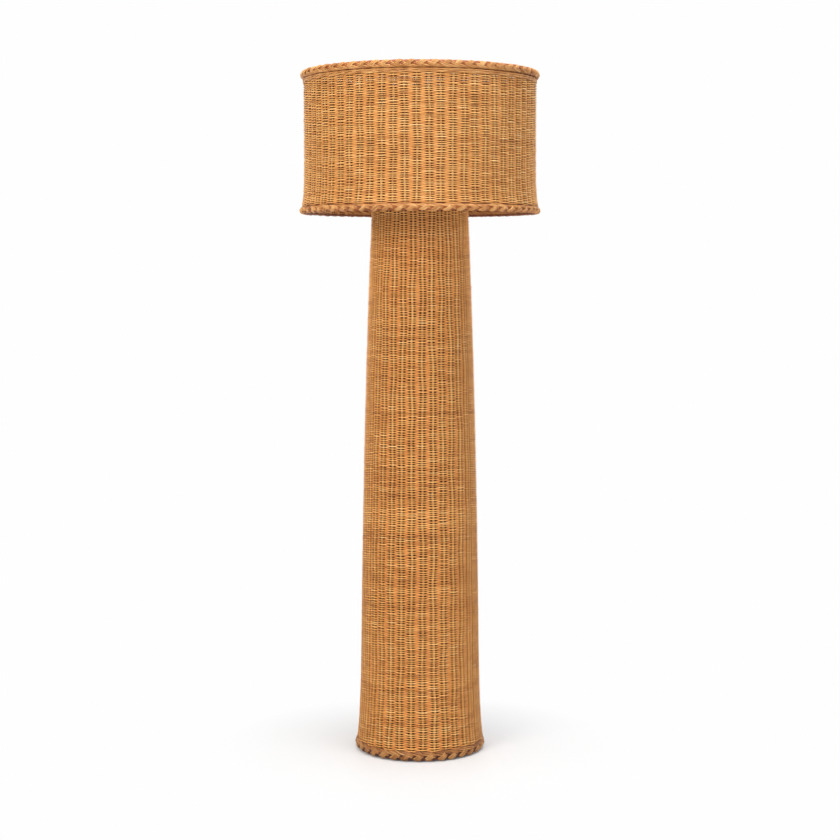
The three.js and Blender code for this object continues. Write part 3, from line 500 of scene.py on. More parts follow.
def plait(name, border):
    random = np.random.default_rng(border["seed"])
    size, turned = border["cane"], border["turned"]
    middleRadius = border["outside"] - border["width"] / 2
    middleZ = (border["top"] + border["bottom"]) / 2
    halfWidth = border["width"] / 2 - plaiting["inset"] * size
    halfHeight = (border["top"] - border["bottom"]) / 2 - plaiting["inset"] * size
    pitch = turn / border["strands"]
    canes = []
    for path, number, steps in ((leafPath, 3, border["steps"]),
                                (lockPath, border["locks"], plaiting["lockSteps"])):
        line = smoothLine(path, steps)
        t = np.linspace(0, 1, steps)
        # the canes lie side by side, and close up towards the strand's ends
        spread = 0.55 + 0.5 * np.minimum(1, 7 * np.minimum(t, 1 - t))
        for strand in range(border["strands"]):
            x, degrees, lift, depth = (line + random.normal(0, 1, 4) * plaiting["jitter"]).T
            # painted shade: the path's own, or the roll's lower side's where that is darker
            depth = np.clip(np.maximum(depth, undersideShade(border, np.radians(degrees))), 0, 1)
            x, around = turned * x, turned * np.radians(degrees)
            tone = random.beta(*plaiting["tones"])
            lift = lift * size
            angle = (strand + x) * pitch
            radius = middleRadius + (halfWidth + lift) * np.cos(around)
            z = middleZ + (halfHeight + lift) * np.sin(around)
            # sideways, within the roll's surface and square to the strand
            along = np.stack([np.gradient(radius), np.gradient(angle) * radius, np.gradient(z)], axis=1)
            outward = np.stack([np.cos(around) * halfHeight, 0 * around, np.sin(around) * halfWidth], axis=1)
            sideways = np.cross(along, outward)
            sideways /= np.linalg.norm(sideways, axis=1)[:, None]
            for index in range(number):
                offset = index - (number - 1) / 2
                shift = sideways * (offset * 2 * size * spread * plaiting["apart"])[:, None]
                # the leaf's upper cane lies lower, and takes a painted shadow from the strand above
                shaded = path is leafPath and index == 0
                crown = size * (plaiting["crown"] if offset == 0 else plaiting["shaded"] if shaded else 0)
                canes.append({
                    "points": onCircle(radius + shift[:, 0] + crown * np.cos(around),
                                       angle + shift[:, 1] / radius,
                                       z + shift[:, 2] + crown * np.sin(around)),
                    "radius": size * mm * (1 + plaiting["unevenness"] * random.normal()),
                    "depth": np.minimum(depth + plaiting["shadow"], plaiting["darkest"]) if shaded else depth,
                    "tone": np.clip(tone + random.normal(0, plaiting["toneJitter"]), 0, 1)})
    steps = border["strands"] * 2
    for degrees, inset, depth in coreRings:
        around = turned * math.radians(degrees)
        # painted shade on the roll's lower side
        depth = max(depth, undersideShade(border, math.radians(degrees)))
        radius = middleRadius + (halfWidth - inset * size) * math.cos(around)
        z = middleZ + (halfHeight - inset * size) * math.sin(around)
        canes.append({"points": ring(radius, z, steps), "radius": size * plaiting["core"] * mm,
                      "closed": True, "tone": plaiting["coreTone"], "depth": depth})
    if "backing" in border:
        # a cane behind the joint of wall and roll, dark in tone and painted in shade, which keeps the joint
        # dark
        radius, z, thickness = border["backing"]
        canes.append({"points": ring(radius, z, steps), "radius": thickness * mm, "closed": True,
                      "tone": 0.2, "depth": 0.8})
    return makeCanes(name, canes, border.get("material", plaitMaterial))


# Two rows of waling under the shade's top border: three canes, each in front of two stakes and behind the
# third, and each rising over the next as it comes forward, so that a row reads as a twisted cord.
# A row has its height and how far it stands proud of its bed in the wall.
topWale = {"node": "shade_top_border", "wall": shadeWall, "rows": [(1528.6, 0.8), (1524.6, 0.4)], "bed": 3.9,
           "cane": 1.75, "swing": 2.4, "rise": 1.2, "bluntness": 0.7, "jitter": 0.08, "tones": (0.35, 0.75),
           "filler": 2.6, "fillerRise": 0.6, "fillerInset": 6.8, "seed": 32}


def waling(name, wale):
    random = np.random.default_rng(wale["seed"])
    wall, stakes = wale["wall"], wale["wall"]["stakes"]
    steps = np.arange(stakes * 4) / 4
    canes = []
    for rowZ, proud in wale["rows"]:
        for rod in range(3):
            share = ((steps + rod) / 3) % 1
            front = np.cos(turn * (share - 1 / 3))
            front = np.sign(front) * np.abs(front) ** wale["bluntness"]
            rise = np.sin(turn * (share - 1 / 3)) * wale["rise"]
            angle = turn * steps / stakes + stakeAngles(wall, np.zeros(1, int), np.array([rowZ]))[0]
            z = rowZ + rise + random.normal(0, wale["jitter"], len(steps))
            radius = wall["radius"](rowZ) - wale["bed"] + proud + wale["swing"] * front
            # a cane takes painted shade where it passes behind a stake
            canes.append({"points": onCircle(radius, angle, z), "radius": wale["cane"] * mm, "closed": True,
                          "tone": random.uniform(*wale["tones"]), "depth": np.clip((1 - front) * 0.45, 0, 1)})
        # two canes laid behind the row, dark in tone and painted in shade, which fill it up towards the plait
        for side in (-1, 1):
            level = rowZ + wale["fillerRise"] + side * 0.75 * wale["filler"]
            radius = wall["radius"](level) - wale["fillerInset"]
            canes.append({"points": ring(radius, level, len(steps)), "radius": wale["filler"] * mm,
                          "closed": True, "tone": 0.2, "depth": 0.95})
    return makeCanes(name, canes, plaitMaterial)


print("borders")
for name, border in borders.items():
    fit(plait(name, border), border["node"])
fit(waling("shade_top_wale", topWale), topWale["node"])


# Finishes of the fittings, the base and the frame

# Two tones that drift over the piece, with gloss and relief from a finer grain. Scales are per metre, one
# for all directions or three, and relief in millimetres. With a pitch in millimetres, a screw thread runs
# up the piece.
def finish(name, tones, driftScale, grainScale, roughness, relief, pitch=None, **sockets):
    material, tree, shader = newMaterial(name)
    place = addNode(tree, "TexCoord")
    noises = []
    for scale, detail, rough in ((driftScale, 3, 0.55), (grainScale, 4, 0.6)):
        scales = (scale,) * 3 if isinstance(scale, int) else scale
        stretched = addNode(tree, "Mapping", {"Scale": scales}, {0: place.outputs["Object"]})
        noises.append(addNode(tree, "TexNoise", {"Scale": 1, "Detail": detail, "Roughness": rough},
                              {0: stretched.outputs[0]}))
    drift, grain = noises
    stops = [(0.36, tones[0]), (0.64, tones[1])]
    colour = addNode(tree, "ValToRGB", None, {0: drift.outputs[0]}, stops=stops)
    bump = surface(tree, shader, colour.outputs[0], grain.outputs[0], roughness, 0.6, relief)
    if pitch:
        parts = addNode(tree, "SeparateXYZ", None, {0: place.outputs["Object"]})
        angle = addNode(tree, "Math", None, {0: parts.outputs["Y"], 1: parts.outputs["X"]},
                        operation="ARCTAN2")
        rise = addNode(tree, "Math", {1: turn / (pitch * mm)}, {0: parts.outputs["Z"], 2: angle.outputs[0]},
                       operation="MULTIPLY_ADD")
        crest = addNode(tree, "Math", {1: math.pi}, {0: rise.outputs[0]}, operation="PINGPONG")
        thread = addNode(tree, "Bump", {"Strength": 0.8, "Distance": 0.14 * mm},
                         {"Height": crest.outputs[0], "Normal": bump.outputs[0]})
        tree.links.new(thread.outputs[0], shader.inputs["Normal"])
    for socket, value in sockets.items():
        shader.inputs[socket.replace("_", " ")].default_value = value
    return material


# Birch plywood: plies in turn along and across, which show as stripes round the edge, and a long soft grain.
def plywood(name, bottom, ply):
    material, tree, shader = newMaterial(name)
    place = addNode(tree, "TexCoord")
    parts = addNode(tree, "SeparateXYZ", None, {0: place.outputs["Object"]})
    rise = addNode(tree, "Math", {1: bottom * mm}, {0: parts.outputs["Z"]}, operation="SUBTRACT")
    pairs = addNode(tree, "Math", {1: 0.5 / (ply * mm)}, {0: rise.outputs[0]}, operation="MULTIPLY")
    share = addNode(tree, "Math", None, {0: pairs.outputs[0]}, operation="FRACT")
    across = addNode(tree, "Math", {1: 0.5}, {0: share.outputs[0]}, operation="GREATER_THAN")
    lengthwise = addNode(tree, "Mapping", {"Scale": (9, 160, 500)}, {0: place.outputs["Object"]})
    crosswise = addNode(tree, "Mapping", {"Scale": (160, 9, 500)}, {0: place.outputs["Object"]})
    grainPlace = addNode(tree, "Mix", None, {0: across.outputs[0], 4: lengthwise.outputs[0],
                                             5: crosswise.outputs[0]}, data_type="VECTOR")
    grain = addNode(tree, "TexNoise", {"Scale": 1, "Detail": 4, "Distortion": 0.6},
                    {0: grainPlace.outputs[1]})
    wood = addNode(tree, "ValToRGB", None, {0: grain.outputs[0]},
                   stops=[(0.3, "#b98f5c"), (0.5, "#d2ac78"), (0.7, "#dfc093")])
    endGrain = addNode(tree, "ValToRGB", None, {0: across.outputs[0]}, stops=[(0, "#ffffff"), (1, "#b08a66")])
    colour = addNode(tree, "Mix", {0: 1}, {6: wood.outputs[0], 7: endGrain.outputs[0]}, data_type="RGBA",
                     blend_type="MULTIPLY")
    surface(tree, shader, colour.outputs[2], grain.outputs[0], (0.62, 0.82), 0.5, 0.1)
    return material


print("finishes")
# warm metal with a soft gleam, and the fine lines that polishing on a lathe leaves round it
satinBrass = finish("brass plating, satin", ("#b48d47", "#d0aa60"), 45, (70, 70, 2600),
                    (0.2, 0.36), 0.02, Metallic=1)
threadedBrass = finish("brass plating, threaded", ("#a9833f", "#c8a258"), 45, 900,
                       (0.26, 0.4), 0.02, 1, Metallic=1)
# cool grey metal with the faint cloudy spangle of plating
zincSteel = finish("zinc plated steel", ("#a9afb6", "#bec2c6"), 150, 900, (0.34, 0.44), 0.02, Metallic=1)
threadedSteel = finish("zinc plated steel, threaded", ("#98a0a8", "#bcc1c4"), 150, 900,
                       (0.32, 0.48), 0.03, 1, Metallic=1)
# dull black paint over the pits and grit of a sand casting
castIron = finish("stove paint on rough cast iron", ("#1a1a1b", "#2d2c2c"), 60, 620, (0.5, 0.76), 0.4)
# dark grey pressed fibres, with the pale bloom of loose hairs
needleFelt = finish("needle felt, charcoal", ("#2b2b2a", "#4a4946"), 420, 1500, (0.9, 1), 0.6,
                    Sheen_Weight=0.6, Sheen_Roughness=0.6)
# brown-black resin, slightly mottled by its filler
phenolic = finish("moulded phenolic, brown-black", ("#211915", "#3b2c23"), 300, 1300, (0.3, 0.5), 0.03)
# dry tan board with short fibres that lie round it
fibreCard = finish("vulcanised fibre card", ("#7b6040", "#a5865d"), (110, 110, 600), 1800, (0.74, 0.9), 0.08)
# black plastic with the fine grain of its mould
mouldedPlastic = finish("moulded plastic, black", ("#141415", "#212122"), 120, 2800, (0.38, 0.52), 0.03)
# milk-white glass, smooth outside and clouded by its coating inside
opalGlass = finish("opal glass, white", ("#dbd7cc", "#e8e5dc"), 14, 260, (0.14, 0.24), 0.01,
                   Coat_Weight=0.6, Coat_Roughness=0.05)
# glossy and nearly black, with the slight waves of pressing
blackGlass = finish("pressed glass, black", ("#0d0c0e", "#1d1a1e"), 200, 900, (0.1, 0.22), 0.02)
# bright thin sheet, with the fine lines that rolling the thread leaves round it
pressedAluminium = finish("pressed aluminium sheet", ("#b2b6b9", "#d3d5d6"), 80, (80, 80, 2200),
                          (0.26, 0.42), 0.03, Metallic=1)
footPlywood = plywood("birch plywood, 9 mm", 19.6, 1.8)
topPlywood = plywood("birch plywood, 12 mm", 1258, 12 / 7)
# straight peeled cane, dull and long-grained, with darker joints
poleMaterial = rattanCore("peeled rattan pole, matte",
                          ("#8a5527", "#a86d36", "#bd8145", "#cc9558", "#d9a96f"),
                          [(0.43, "#f8efe6"), (0.6, "#8f6038"), (0.9, "#4a2a14")], (60, 4), 4)


# Turned fittings

# Rounds the corners of an outline as far as its sides allow, with a point beside each round that keeps
# the flat parts flat to the eye.
def rounded(outline, fillet, steps=3):
    points = [Vector(point) for point in outline]
    result = []
    for i, corner in enumerate(points):
        before, after = points[i - 1] - corner, points[(i + 1) % len(points)] - corner
        angle = before.angle(after) if before.length and after.length else math.pi
        if corner.x == 0 or angle > 2.8 or not fillet:
            result.append(corner)
            continue
        reach = min(fillet / math.tan(angle / 2), 0.3 * before.length, 0.3 * after.length)
        start, end = (corner + side.normalized() * reach for side in (before, after))
        result.append(corner + before.normalized() * reach * 1.5)
        for k in range(steps + 1):
            t = k / steps
            result.append((1 - t) ** 2 * start + 2 * t * (1 - t) * corner + t ** 2 * end)
        result.append(corner + after.normalized() * reach * 1.5)
    return result


def finished(name, bm, material):
    mesh = bpy.data.meshes.new(name)
    bm.to_mesh(mesh)
    bm.free()
    mesh.polygons.foreach_set("use_smooth", np.ones(len(mesh.polygons), bool))
    mesh.set_sharp_from_angle(angle=math.radians(38))
    mesh.materials.append(material)
    piece = bpy.data.objects.new(name, mesh)
    bpy.context.collection.objects.link(piece)
    return piece


# Turns an outline of (radius, rise) points round its node's axis. The rise counts from the node's lowest
# point, or with lies from its nearest to the axis, to the back (1) or to the front (-1). The reach, if
# given, is the largest radius at an angle and a rise: flats, flutes and threads.
def spun(name, node, outline, material, fillet=0.3, steps=64, lies=0, reach=None):
    bm = bmesh.new()
    rim = [bm.verts.new((x * mm, 0, z * mm)) for x, z in rounded(outline, fillet)]
    pairs = [(rim[i - 1], rim[i]) for i in range(len(rim))]
    edges = [bm.edges.new(pair) for pair in pairs if pair[0].co.x or pair[1].co.x]
    bmesh.ops.spin(bm, geom=rim + edges, cent=(0, 0, 0), axis=(0, 0, 1), angle=turn, steps=steps,
                   use_merge=True)
    bmesh.ops.remove_doubles(bm, verts=bm.verts[:], dist=0.002 * mm)
    bmesh.ops.recalc_face_normals(bm, faces=bm.faces[:])
    if reach:
        for vertex in bm.verts:
            x, y, z = vertex.co / mm
            radius = math.hypot(x, y)
            if radius:
                keep = min(1, reach(math.atan2(y, x), z) / radius)
                vertex.co.x, vertex.co.y = x * keep * mm, y * keep * mm
    low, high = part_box(node)
    middle = (low + high) / 2
    place = {0: (middle.x, middle.y, low.z), 1: (middle.x, low.y, middle.z),
             -1: (middle.x, high.y, middle.z)}[lies]
    bm.transform(Matrix.Translation(place) @ Matrix.Rotation(-lies * turn / 4, 4, "X"))
    return fit(finished(name, bm, material), node)


# Drills a round hole along y, from one place to another at a height.
def drill(piece, radius, near, far, height):
    bm = bmesh.new()
    place = Matrix.Translation((0, (near + far) / 2 * mm, height * mm)) @ Matrix.Rotation(turn / 4, 4, "X")
    bmesh.ops.create_cone(bm, cap_ends=True, segments=32, radius1=radius * mm, radius2=radius * mm,
                          depth=(far - near) * mm, matrix=place)
    bit = finished("drill", bm, piece.data.materials[0])
    hole = piece.modifiers.new("hole", "BOOLEAN")
    hole.operation, hole.solver, hole.object = "DIFFERENCE", "EXACT", bit
    piece.data = bpy.data.meshes.new_from_object(piece.evaluated_get(bpy.context.evaluated_depsgraph_get()))
    piece.modifiers.clear()
    bpy.data.objects.remove(bit)


# A copy of a CAD node's mesh with its edges rounded off.
def softened(name, node, material, width):
    bm = bmesh.new()
    bm.from_mesh(frame["nodes"][node].data)
    bmesh.ops.remove_doubles(bm, verts=bm.verts[:], dist=0.002 * mm)
    bmesh.ops.dissolve_limit(bm, angle_limit=math.radians(2), verts=bm.verts[:], edges=bm.edges[:])
    sharp = [edge for edge in bm.edges if edge.is_manifold and edge.calc_face_angle() > math.radians(40)]
    bmesh.ops.bevel(bm, geom=sharp, offset=width * mm, segments=2, profile=0.5, affect="EDGES", material=-1)
    return fit(finished(name, bm, material), node)


# Points on an arc round (0, rise) between two angles in degrees. Those on the axis lie on it exactly.
def arc(radius, rise, start, end, steps):
    angles = [math.radians(start + (end - start) * i / steps) for i in range(steps + 1)]
    return [(radius * math.cos(angle) if abs(math.cos(angle)) > 1e-9 else 0, rise + radius * math.sin(angle))
            for angle in angles]


# the bulb's glass: its radii, the ball's middle and where it meets the shoulder, in degrees, and the
# heights that lead the shoulder's curve
glass = {"ball": 30, "neck": 11.9, "wall": 1.2, "middle": 65.7, "meets": -35, "shoulder": (20, 29.5, 38.8)}
nutFlats = 16
knob = {"radius": 8, "flutes": 12, "front": 11.4}
bulbScrew = {"radius": 13.1, "depth": 0.6, "pitch": 3.6, "start": 4.6, "end": 19.4}


# One side of the bulb's glass: up the neck, round the shoulder and over the ball.
def bulbSide(inset):
    ball, neck = glass["ball"] - inset, glass["neck"] - inset
    over = arc(ball, glass["middle"], glass["meets"], 90, 18)
    start, first, second = glass["shoulder"]
    shoulder = interpolate_bezier((neck, start, 0), (neck, first, 0),
                                  (neck + (over[0][0] - neck) / 3, second, 0), (*over[0], 0), 9)
    return [(neck, 0)] + [(point.x, point.y) for point in shoulder] + over[1:]


# A nut's six flats
def hexagon(angle, rise):
    return nutFlats / 2 / math.cos(angle % (turn / 6) - turn / 12)


# Flutes a millimetre deep that run out before the knob's front
def flutes(angle, rise):
    depth = min(1, max(0, 1.6 * math.cos(knob["flutes"] * angle) - 0.6))
    return knob["radius"] - depth * min(1, max(0, knob["front"] - rise))


# The screw thread pressed into the bulb's base
def bulbThread(angle, rise):
    depth = bulbScrew["depth"] * min(1, max(0, rise - bulbScrew["start"]), max(0, bulbScrew["end"] - rise))
    return bulbScrew["radius"] - depth * (0.5 - 0.5 * math.cos(turn * rise / bulbScrew["pitch"] - angle))


washer = [(5.3, 0), (14, 0), (14, 1.5), (5.3, 1.5)]
nut = [(5.3, 0), (8.2, 0), (9.3, 0.6), (9.3, 5.4), (8.2, 6), (5.3, 6)]
threadSteps = [(13.1, 4.3 + 0.3 * i) for i in range(1, 51)]
ferrule = [(2.9, 0), (4.2, 0), (4.2, 1.6), (3.8, 2.1), (3.8, 11.2), (4.2, 11.7), (4.2, 13), (2.9, 13)]
plateRadius = (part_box("top_plate")[1].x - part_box("top_plate")[0].x) / 2 / mm
# name: node, outline, finish, and further settings of spun
turnedPieces = {
    "felt_disc": ("base_felt", [(0, 0), (129.8, 0), (129.8, 3), (0, 3)], needleFelt, {
        "fillet": 1.1, "steps": 160, "reach": lambda angle, rise: 129.5 + 0.3 * math.sin(angle * 61)}),
    "iron_weight": ("base_weight", [
        (18, 0), (129.8, 0), (131.8, 2), (131.8, 14), (129.8, 16), (5.4, 16), (5.4, 10.5), (18, 10.5)],
        castIron, {"fillet": 1.4, "steps": 128}),
    "foot_board_disc": ("foot_board", [(5.4, 0), (131.8, 0), (131.8, 9), (5.4, 9)], footPlywood, {
        "fillet": 0.6, "steps": 128}),
    "top_plate_disc": ("top_plate", [(5.4, 0), (plateRadius, 0), (plateRadius, 12), (5.4, 12)], topPlywood, {
        "fillet": 0.6, "steps": 128}),
    "pipe": ("center_pipe", [(3.5, 0), (5, 0), (5, 1305), (3.5, 1305)], threadedSteel, {"steps": 32}),
    "spun_cap": ("vase_cap", [
        (5.4, 5.1), (11.52, 5.1), (28.54, 0), (32, 0), (32, 0.9), (29.44, 0.9), (12.42, 6), (5.4, 6)],
        satinBrass, {"fillet": 1.5, "steps": 96}),
    "beaded_neck": ("neck_tube", [
        (7.5, 0), (9.5, 0), (9.5, 2.2), (9, 2.8), (9, 19.2), (9.5, 19.8), (9.5, 22), (7.5, 22)],
        satinBrass, {}),
    "holder_cap": ("socket_cap", [
        (5.4, 0), (7, 0), (7, 7.1), (17.8, 11.1), (17.8, 18), (16.9, 18), (16.9, 12), (7, 8), (5.4, 8)],
        satinBrass, {"fillet": 1}),
    "holder_shell": ("socket_shell", [
        (15.7, 0), (16.6, 0), (16.6, 29.2), (16.25, 29.8), (16.25, 30.6), (16.6, 31.2), (16.6, 33.2),
        (16.25, 33.8), (16.25, 34.6), (16.6, 35.2), (16.6, 43.3), (17.8, 44.5), (17.8, 45.7), (16.6, 45.7),
        (15.7, 44.5)], satinBrass, {}),
    "holder_liner": ("socket_liner", [(14.4, 0), (15.4, 0), (15.4, 43.3), (14.4, 43.3)], fibreCard, {}),
    "holder_core": ("socket_insulator", [(0, 0), (13.4, 0), (14.1, 0.7), (14.1, 16), (0, 16)], phenolic, {
        "fillet": 0.5}),
    "thread_shell": ("screw_shell", [
        (4.5, 0), (14.1, 0), (14.1, 22.5), (13.4, 22.5), (13.4, 0.7), (4.5, 0.7)], satinBrass, {}),
    "holder_contact": ("center_contact", [(0, 0), (2.5, 0), (2.5, 1.2), (1.5, 1.9), (0, 2)], satinBrass, {
        "steps": 32}),
    "switch_spindle": ("switch_shaft", [(0, 0), (2, 0), (2, 23.7), (0, 23.7)], satinBrass, {
        "steps": 32, "lies": -1, "fillet": 0.4}),
    "switch_button": ("switch_knob", [
        (2.3, 0), (8, 0), (8, 5.5), (8, 11), (7, 12), (0, 12), (0, 7.2), (2.3, 7.2)], mouldedPlastic, {
        "steps": 144, "lies": -1, "fillet": 0.6, "reach": flutes}),
    "bulb": ("bulb_glass", bulbSide(0) + bulbSide(glass["wall"])[::-1], opalGlass, {"fillet": 0}),
    "bulb_thread": ("bulb_base", [
        (9.2, 2.35), (13.1, 4.3), *threadSteps, (13.1, 24), (12.2, 24), (12.2, 4.2), (9.2, 3)],
        pressedAluminium, {"reach": bulbThread}),
    "bulb_insulator": ("bulb_base", [(0, 0), (4.5, 0), (9, 2.25), (9, 3.6), (0, 3.6)], blackGlass, {}),
    "bulb_solder": ("bulb_contact", [(0, 0), (2.2, 0), (3.5, 0.9), (3.5, 1.6), (0, 1.6)], satinBrass, {
        "steps": 32}),
    "ferrule_a": ("harp_ferrule_left", ferrule, satinBrass, {"steps": 32}),
    "ferrule_b": ("harp_ferrule_right", ferrule, satinBrass, {"steps": 32}),
    "harp_seat": ("harp", [(0, 198.5), (8, 198.5), (8, 201.5), (3.1, 201.5), (3.1, 216.5), (0, 216.5)],
                  threadedBrass, {"fillet": 0.5, "steps": 48}),
    "carrier_hub": ("shade_carrier", [(3.8, 3.2), (12, 3.2), (12, 5.2), (3.8, 5.2)], zincSteel, {
        "fillet": 0.5}),
    "finial_ball": ("finial", [
        (3.7, 0), (7, 0), (7, 2.5), (4.9, 4.5), *arc(10, 17, -60, 90, 18), (0, 14.4), (3.7, 14.4)],
        satinBrass, {"fillet": 0.6}),
    "cord_sleeve": ("cord_bushing", [
        (3.5, 0), (5.2, 0), (5.2, 12), (8, 12), (8, 12.8), (6.6, 14), (3.5, 14)], mouldedPlastic, {
        "fillet": 0.7, "lies": 1}),
}
for place, end in (("under_weight", "base"), ("on_board", "foot"), ("under_plate", "plate")):
    turnedPieces["washer_" + place] = (end + "_washer", washer, zincSteel, {})
    turnedPieces["nut_" + place] = (end + "_nut", nut, zincSteel, {"steps": 72, "reach": hexagon})
# Holes for the cord and for the switch's shaft: the piece, and the hole's radius, its two ends along y and
# its height.
holes = [("pipe", 3.2, 0, 6, 60), ("holder_shell", 2.6, -18, 0, 1324.2),
         ("holder_liner", 2.6, -18, 0, 1324.2), ("holder_core", 2.6, -18, -2, 1324.2)]

print("turned fittings")
for name, (node, outline, material, settings) in turnedPieces.items():
    spun(name, node, outline, material, **settings)
for name, *hole in holes:
    drill(bpy.data.objects[name], *hole)
softened("harp_stand", "harp_saddle", satinBrass, 0.4)


# Wires and the cane frame

# Adds a point just past each end of a path, on which the end's flat face closes.
def flatEnds(points):
    points = np.asarray(points, float)
    first, last = points[0] - points[1], points[-1] - points[-2]
    return np.vstack([points[0] + first / np.linalg.norm(first) * 0.05 * mm, points,
                      points[-1] + last / np.linalg.norm(last) * 0.05 * mm])


# the harp's bow: half widths and rises above the foot of its legs
bow = {"wire": 4.8, "leg": (27, 31), "swell": (60.99, 57), "waist": (57, 90.98), "shoulder": 154.95,
       "top": (10, 197.6)}


def harpPath():
    (leg, legTop), (swell, wide), (_, waist), (flat, top) = bow["leg"], bow["swell"], bow["waist"], bow["top"]
    lower = interpolate_bezier((leg, 0, legTop), (leg, 0, swell), (wide, 0, swell), (wide, 0, waist), 18)
    upper = interpolate_bezier((wide, 0, waist), (wide, 0, bow["shoulder"]), ((wide + flat) / 2, 0, top),
                               (flat, 0, top), 22)
    side = [(leg, 0, 0), (leg, 0, legTop / 2)] + [tuple(point) for point in lower + upper[1:]]
    other = [(-x, y, z) for x, y, z in side[::-1]]
    return np.array(side + other) * mm + np.array([0, 0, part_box("harp")[0].z])


print("wires")
fit(makeCanes("harp_bow", [{"points": flatEnds(harpPath()), "radius": bow["wire"] / 2 * mm, "tone": 0.5}],
              satinBrass, sides=16, twist="MINIMUM"), "harp")
carrier = {"wire": 5, "arm": 4.4, "reach": 9.8, "rise": 4.2, "apart": 0.3, "arms": (90, 210, 330)}
low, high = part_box("shade_carrier")
hoopRadius = (high.x - low.x) / 2 / mm - carrier["wire"] / 2
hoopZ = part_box("shade_top_border")[0].z / mm - carrier["apart"] - carrier["wire"]
wires = [{"points": ring(hoopRadius, hoopZ, 192), "radius": carrier["wire"] / 2 * mm, "tone": 0.5,
          "closed": True}]
for degrees in carrier["arms"]:
    reach = np.linspace(carrier["reach"], hoopRadius, 12)
    rise = np.linspace(low.z / mm + carrier["rise"], hoopZ, 12)
    wires.append({"points": flatEnds(onCircle(reach, np.radians(degrees), rise)),
                  "radius": carrier["arm"] / 2 * mm, "tone": 0.5})
fit(makeCanes("carrier_wires", wires, zincSteel, sides=12), "shade_carrier")
low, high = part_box("shade_bottom_hoop")
hoop = {"points": ring((high.x - low.x) / 2 / mm - carrier["wire"] / 2, (low.z + high.z) / 2 / mm, 192),
        "radius": carrier["wire"] / 2 * mm, "tone": 0.5, "closed": True}
fit(makeCanes("bottom_hoop_wire", [hoop], zincSteel, sides=12), "shade_bottom_hoop")

print("cane frame")
# Each hoop has one joint of its cane, a shallow dark ring: its place and width count in steps round the
# hoop, and the place shifts from hoop to hoop. A pole has several joints, where it swells and has a groove.
# The stain is how dark a joint is.
hoopCane = {"radius": 4.5, "steps": 180, "joint": 60, "shift": 25, "width": 1.2, "groove": 0.2, "stain": 0.7}
poleCane = {"radius": 7, "apart": 0.3, "step": 8, "firstJoint": (50, 120), "between": (150, 250),
            "lastJoint": 60, "clear": 28, "beside": (-5, -3, -1.6, -0.8, 0, 0.8, 1.6, 3, 5),
            "swell": 0.35, "groove": 0.3, "stain": 0.75}
frameCane = {"tones": (0.3, 0.7), "seed": 41}
random = np.random.default_rng(frameCane["seed"])
heights, reaches = [], []
for index in range(4):
    node = f"frame_hoop_{index + 1}"
    low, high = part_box(node)
    radius, z = (high.x - low.x) / 2 / mm - hoopCane["radius"], (low.z + high.z) / 2 / mm
    heights.append(z)
    reaches.append(radius - hoopCane["radius"] - poleCane["apart"] - poleCane["radius"])
    joint = hoopCane["joint"] + hoopCane["shift"] * index
    groove = np.exp(-((np.arange(hoopCane["steps"]) - joint) / hoopCane["width"]) ** 2)
    fit(makeCanes(f"cane_hoop_{index + 1}", [{
        "points": ring(radius, z, hoopCane["steps"]), "closed": True,
        "radius": (hoopCane["radius"] - hoopCane["groove"] * groove) * mm,
        "tone": random.uniform(*frameCane["tones"]), "depth": hoopCane["stain"] * groove}],
        poleMaterial, sides=12), node)
for index in range(4):
    node = f"frame_pole_{index + 1}"
    low, high = (corner.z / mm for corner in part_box(node))
    joints = [low + random.uniform(*poleCane["firstJoint"])]
    while joints[-1] < high - poleCane["lastJoint"]:
        joints.append(joints[-1] + random.uniform(*poleCane["between"]))
    # a joint of the pole keeps clear of the hoops
    joints = [joint for joint in joints if min(abs(joint - z) for z in heights) > poleCane["clear"]]
    levels = [np.arange(low, high, poleCane["step"]), [high]]
    levels += [joint + np.array(poleCane["beside"]) for joint in joints]
    z = np.unique(np.clip(np.concatenate(levels), low, high))
    swell = sum(np.exp(-((z - joint + 2) / 2.4) ** 2) for joint in joints)
    groove = sum(np.exp(-((z - joint) / 0.9) ** 2) for joint in joints)
    radius = poleCane["radius"] + poleCane["swell"] * swell - poleCane["groove"] * groove
    points = flatEnds(onCircle(np.interp(z, heights, reaches), turn * (0.125 + 0.25 * index), z))
    fit(makeCanes(f"cane_pole_{index + 1}", [{
        "points": points, "radius": np.pad(radius, 1, "edge") * mm,
        "tone": random.uniform(*frameCane["tones"]), "depth": np.pad(poleCane["stain"] * groove, 1, "edge")}],
        poleMaterial, sides=16, twist="MINIMUM"), node)


# Floor, background and lights

print("studio")
# The floor's glow by the distance from the lamp's middle, as shares of fadeReach: hardly any under the foot,
# a third beside it, and all of it where the photograph's shadow has gone.
studio = {"floorSize": 30, "white": "#fefefe", "floorColour": "#e4e4e4", "floorRoughness": 0.5,
          "fadeReach": 0.5, "fade": [(0.29, 0.05), (0.325, 0.3), (0.94, 1)],
          "skyColour": "#f4f6fa", "sky": 0.42}


# 1 for what is seen by the camera, in a gloss or through glass, and 0 for what lights the object
def seenDirectly(tree):
    ray = addNode(tree, "LightPath")
    seen = addNode(tree, "Math", None, {0: ray.outputs["Is Camera Ray"], 1: ray.outputs["Is Glossy Ray"]},
                   operation="MAXIMUM")
    seen = addNode(tree, "Math", None, {0: seen.outputs[0], 1: ray.outputs["Is Transmission Ray"]},
                   operation="MAXIMUM")
    return seen.outputs[0]


floorMesh = bpy.data.meshes.new("floor")
bm = bmesh.new()
bmesh.ops.create_grid(bm, x_segments=1, y_segments=1, size=studio["floorSize"])
bm.to_mesh(floorMesh)
bm.free()
floor = bpy.data.objects.new("floor", floorMesh)
bpy.context.collection.objects.link(floor)

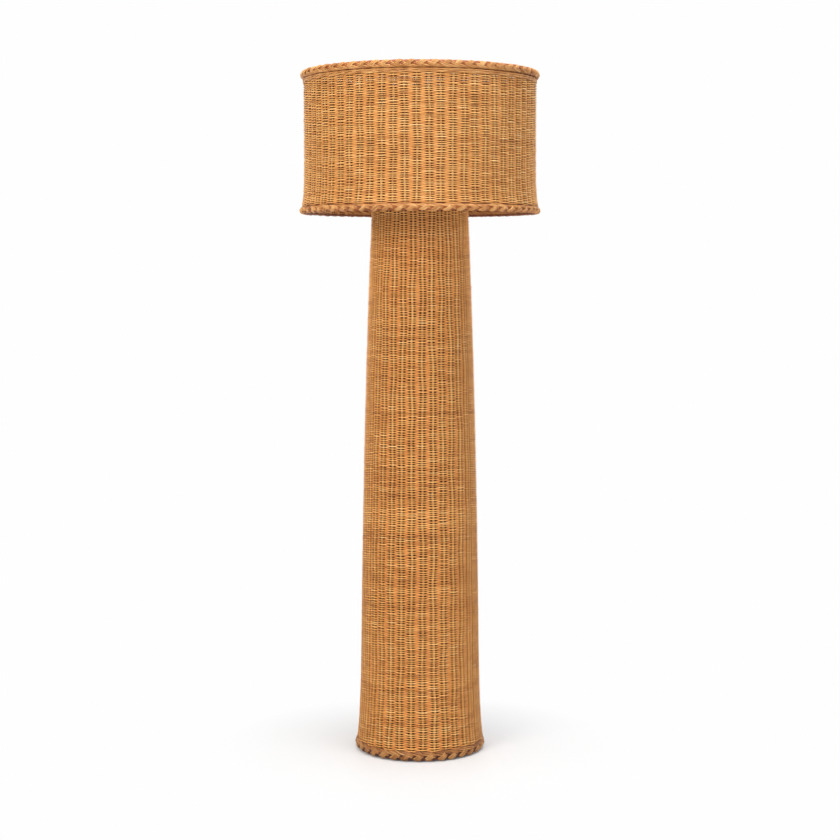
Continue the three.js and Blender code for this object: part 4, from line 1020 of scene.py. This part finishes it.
floorMaterial, tree, shader = newMaterial("matt white floor")
shader.inputs["Base Color"].default_value = linear(studio["floorColour"])
shader.inputs["Roughness"].default_value = studio["floorRoughness"]
glow = addNode(tree, "Emission", {"Color": linear(studio["white"]), "Strength": 1})
place = addNode(tree, "TexCoord")
distance = addNode(tree, "VectorMath", None, {0: place.outputs["Object"]}, operation="LENGTH")
reach = addNode(tree, "Math", {1: studio["fadeReach"]}, {0: distance.outputs["Value"]}, operation="DIVIDE")
fade = addNode(tree, "ValToRGB", None, {0: reach.outputs[0]}, stops=studio["fade"])
share = addNode(tree, "Math", None, {0: fade.outputs[0], 1: seenDirectly(tree)}, operation="MULTIPLY")
mixed = addNode(tree, "MixShader", None, {0: share.outputs[0], 1: shader.outputs[0], 2: glow.outputs[0]})
output = next(node for node in tree.nodes if node.type == "OUTPUT_MATERIAL")
tree.links.new(mixed.outputs[0], output.inputs[0])
floorMesh.materials.append(floorMaterial)

world = bpy.data.worlds.new("studio")
bpy.context.scene.world = world
world.use_nodes = True
tree = world.node_tree
tree.nodes.clear()
sky = addNode(tree, "Background", {0: linear(studio["skyColour"]), 1: studio["sky"]})
backdrop = addNode(tree, "Background", {0: linear(studio["white"]), 1: 1})
mixed = addNode(tree, "MixShader", None, {0: seenDirectly(tree), 1: sky.outputs[0], 2: backdrop.outputs[0]})
addNode(tree, "OutputWorld", None, {0: mixed.outputs[0]})

lamps = {
    "key": {"place": (-2.4, -3.2, 2.6), "aim": (0, 0, 0.85), "size": 1.8, "power": 118, "colour": "#fffaf2"},
    "fill": {"place": (3.0, -2.6, 1.6), "aim": (0, 0, 0.8), "size": 2.2, "power": 50, "colour": "#f6f8ff"},
    "top": {"place": (0.2, -0.5, 3.9), "aim": (0, 0, 0.8), "size": 2.0, "power": 95, "colour": "#ffffff"},
}
for name, lamp in lamps.items():
    light = bpy.data.lights.new(name, "AREA")
    light.shape = "SQUARE"
    light.size = lamp["size"]
    light.energy = lamp["power"]
    light.color = linear(lamp["colour"])[:3]
    lightObject = bpy.data.objects.new(name, light)
    lightObject.location = lamp["place"]
    aim = Vector(lamp["aim"]) - Vector(lamp["place"])
    lightObject.rotation_euler = aim.to_track_quat("-Z", "Y").to_euler()
    bpy.context.collection.objects.link(lightObject)
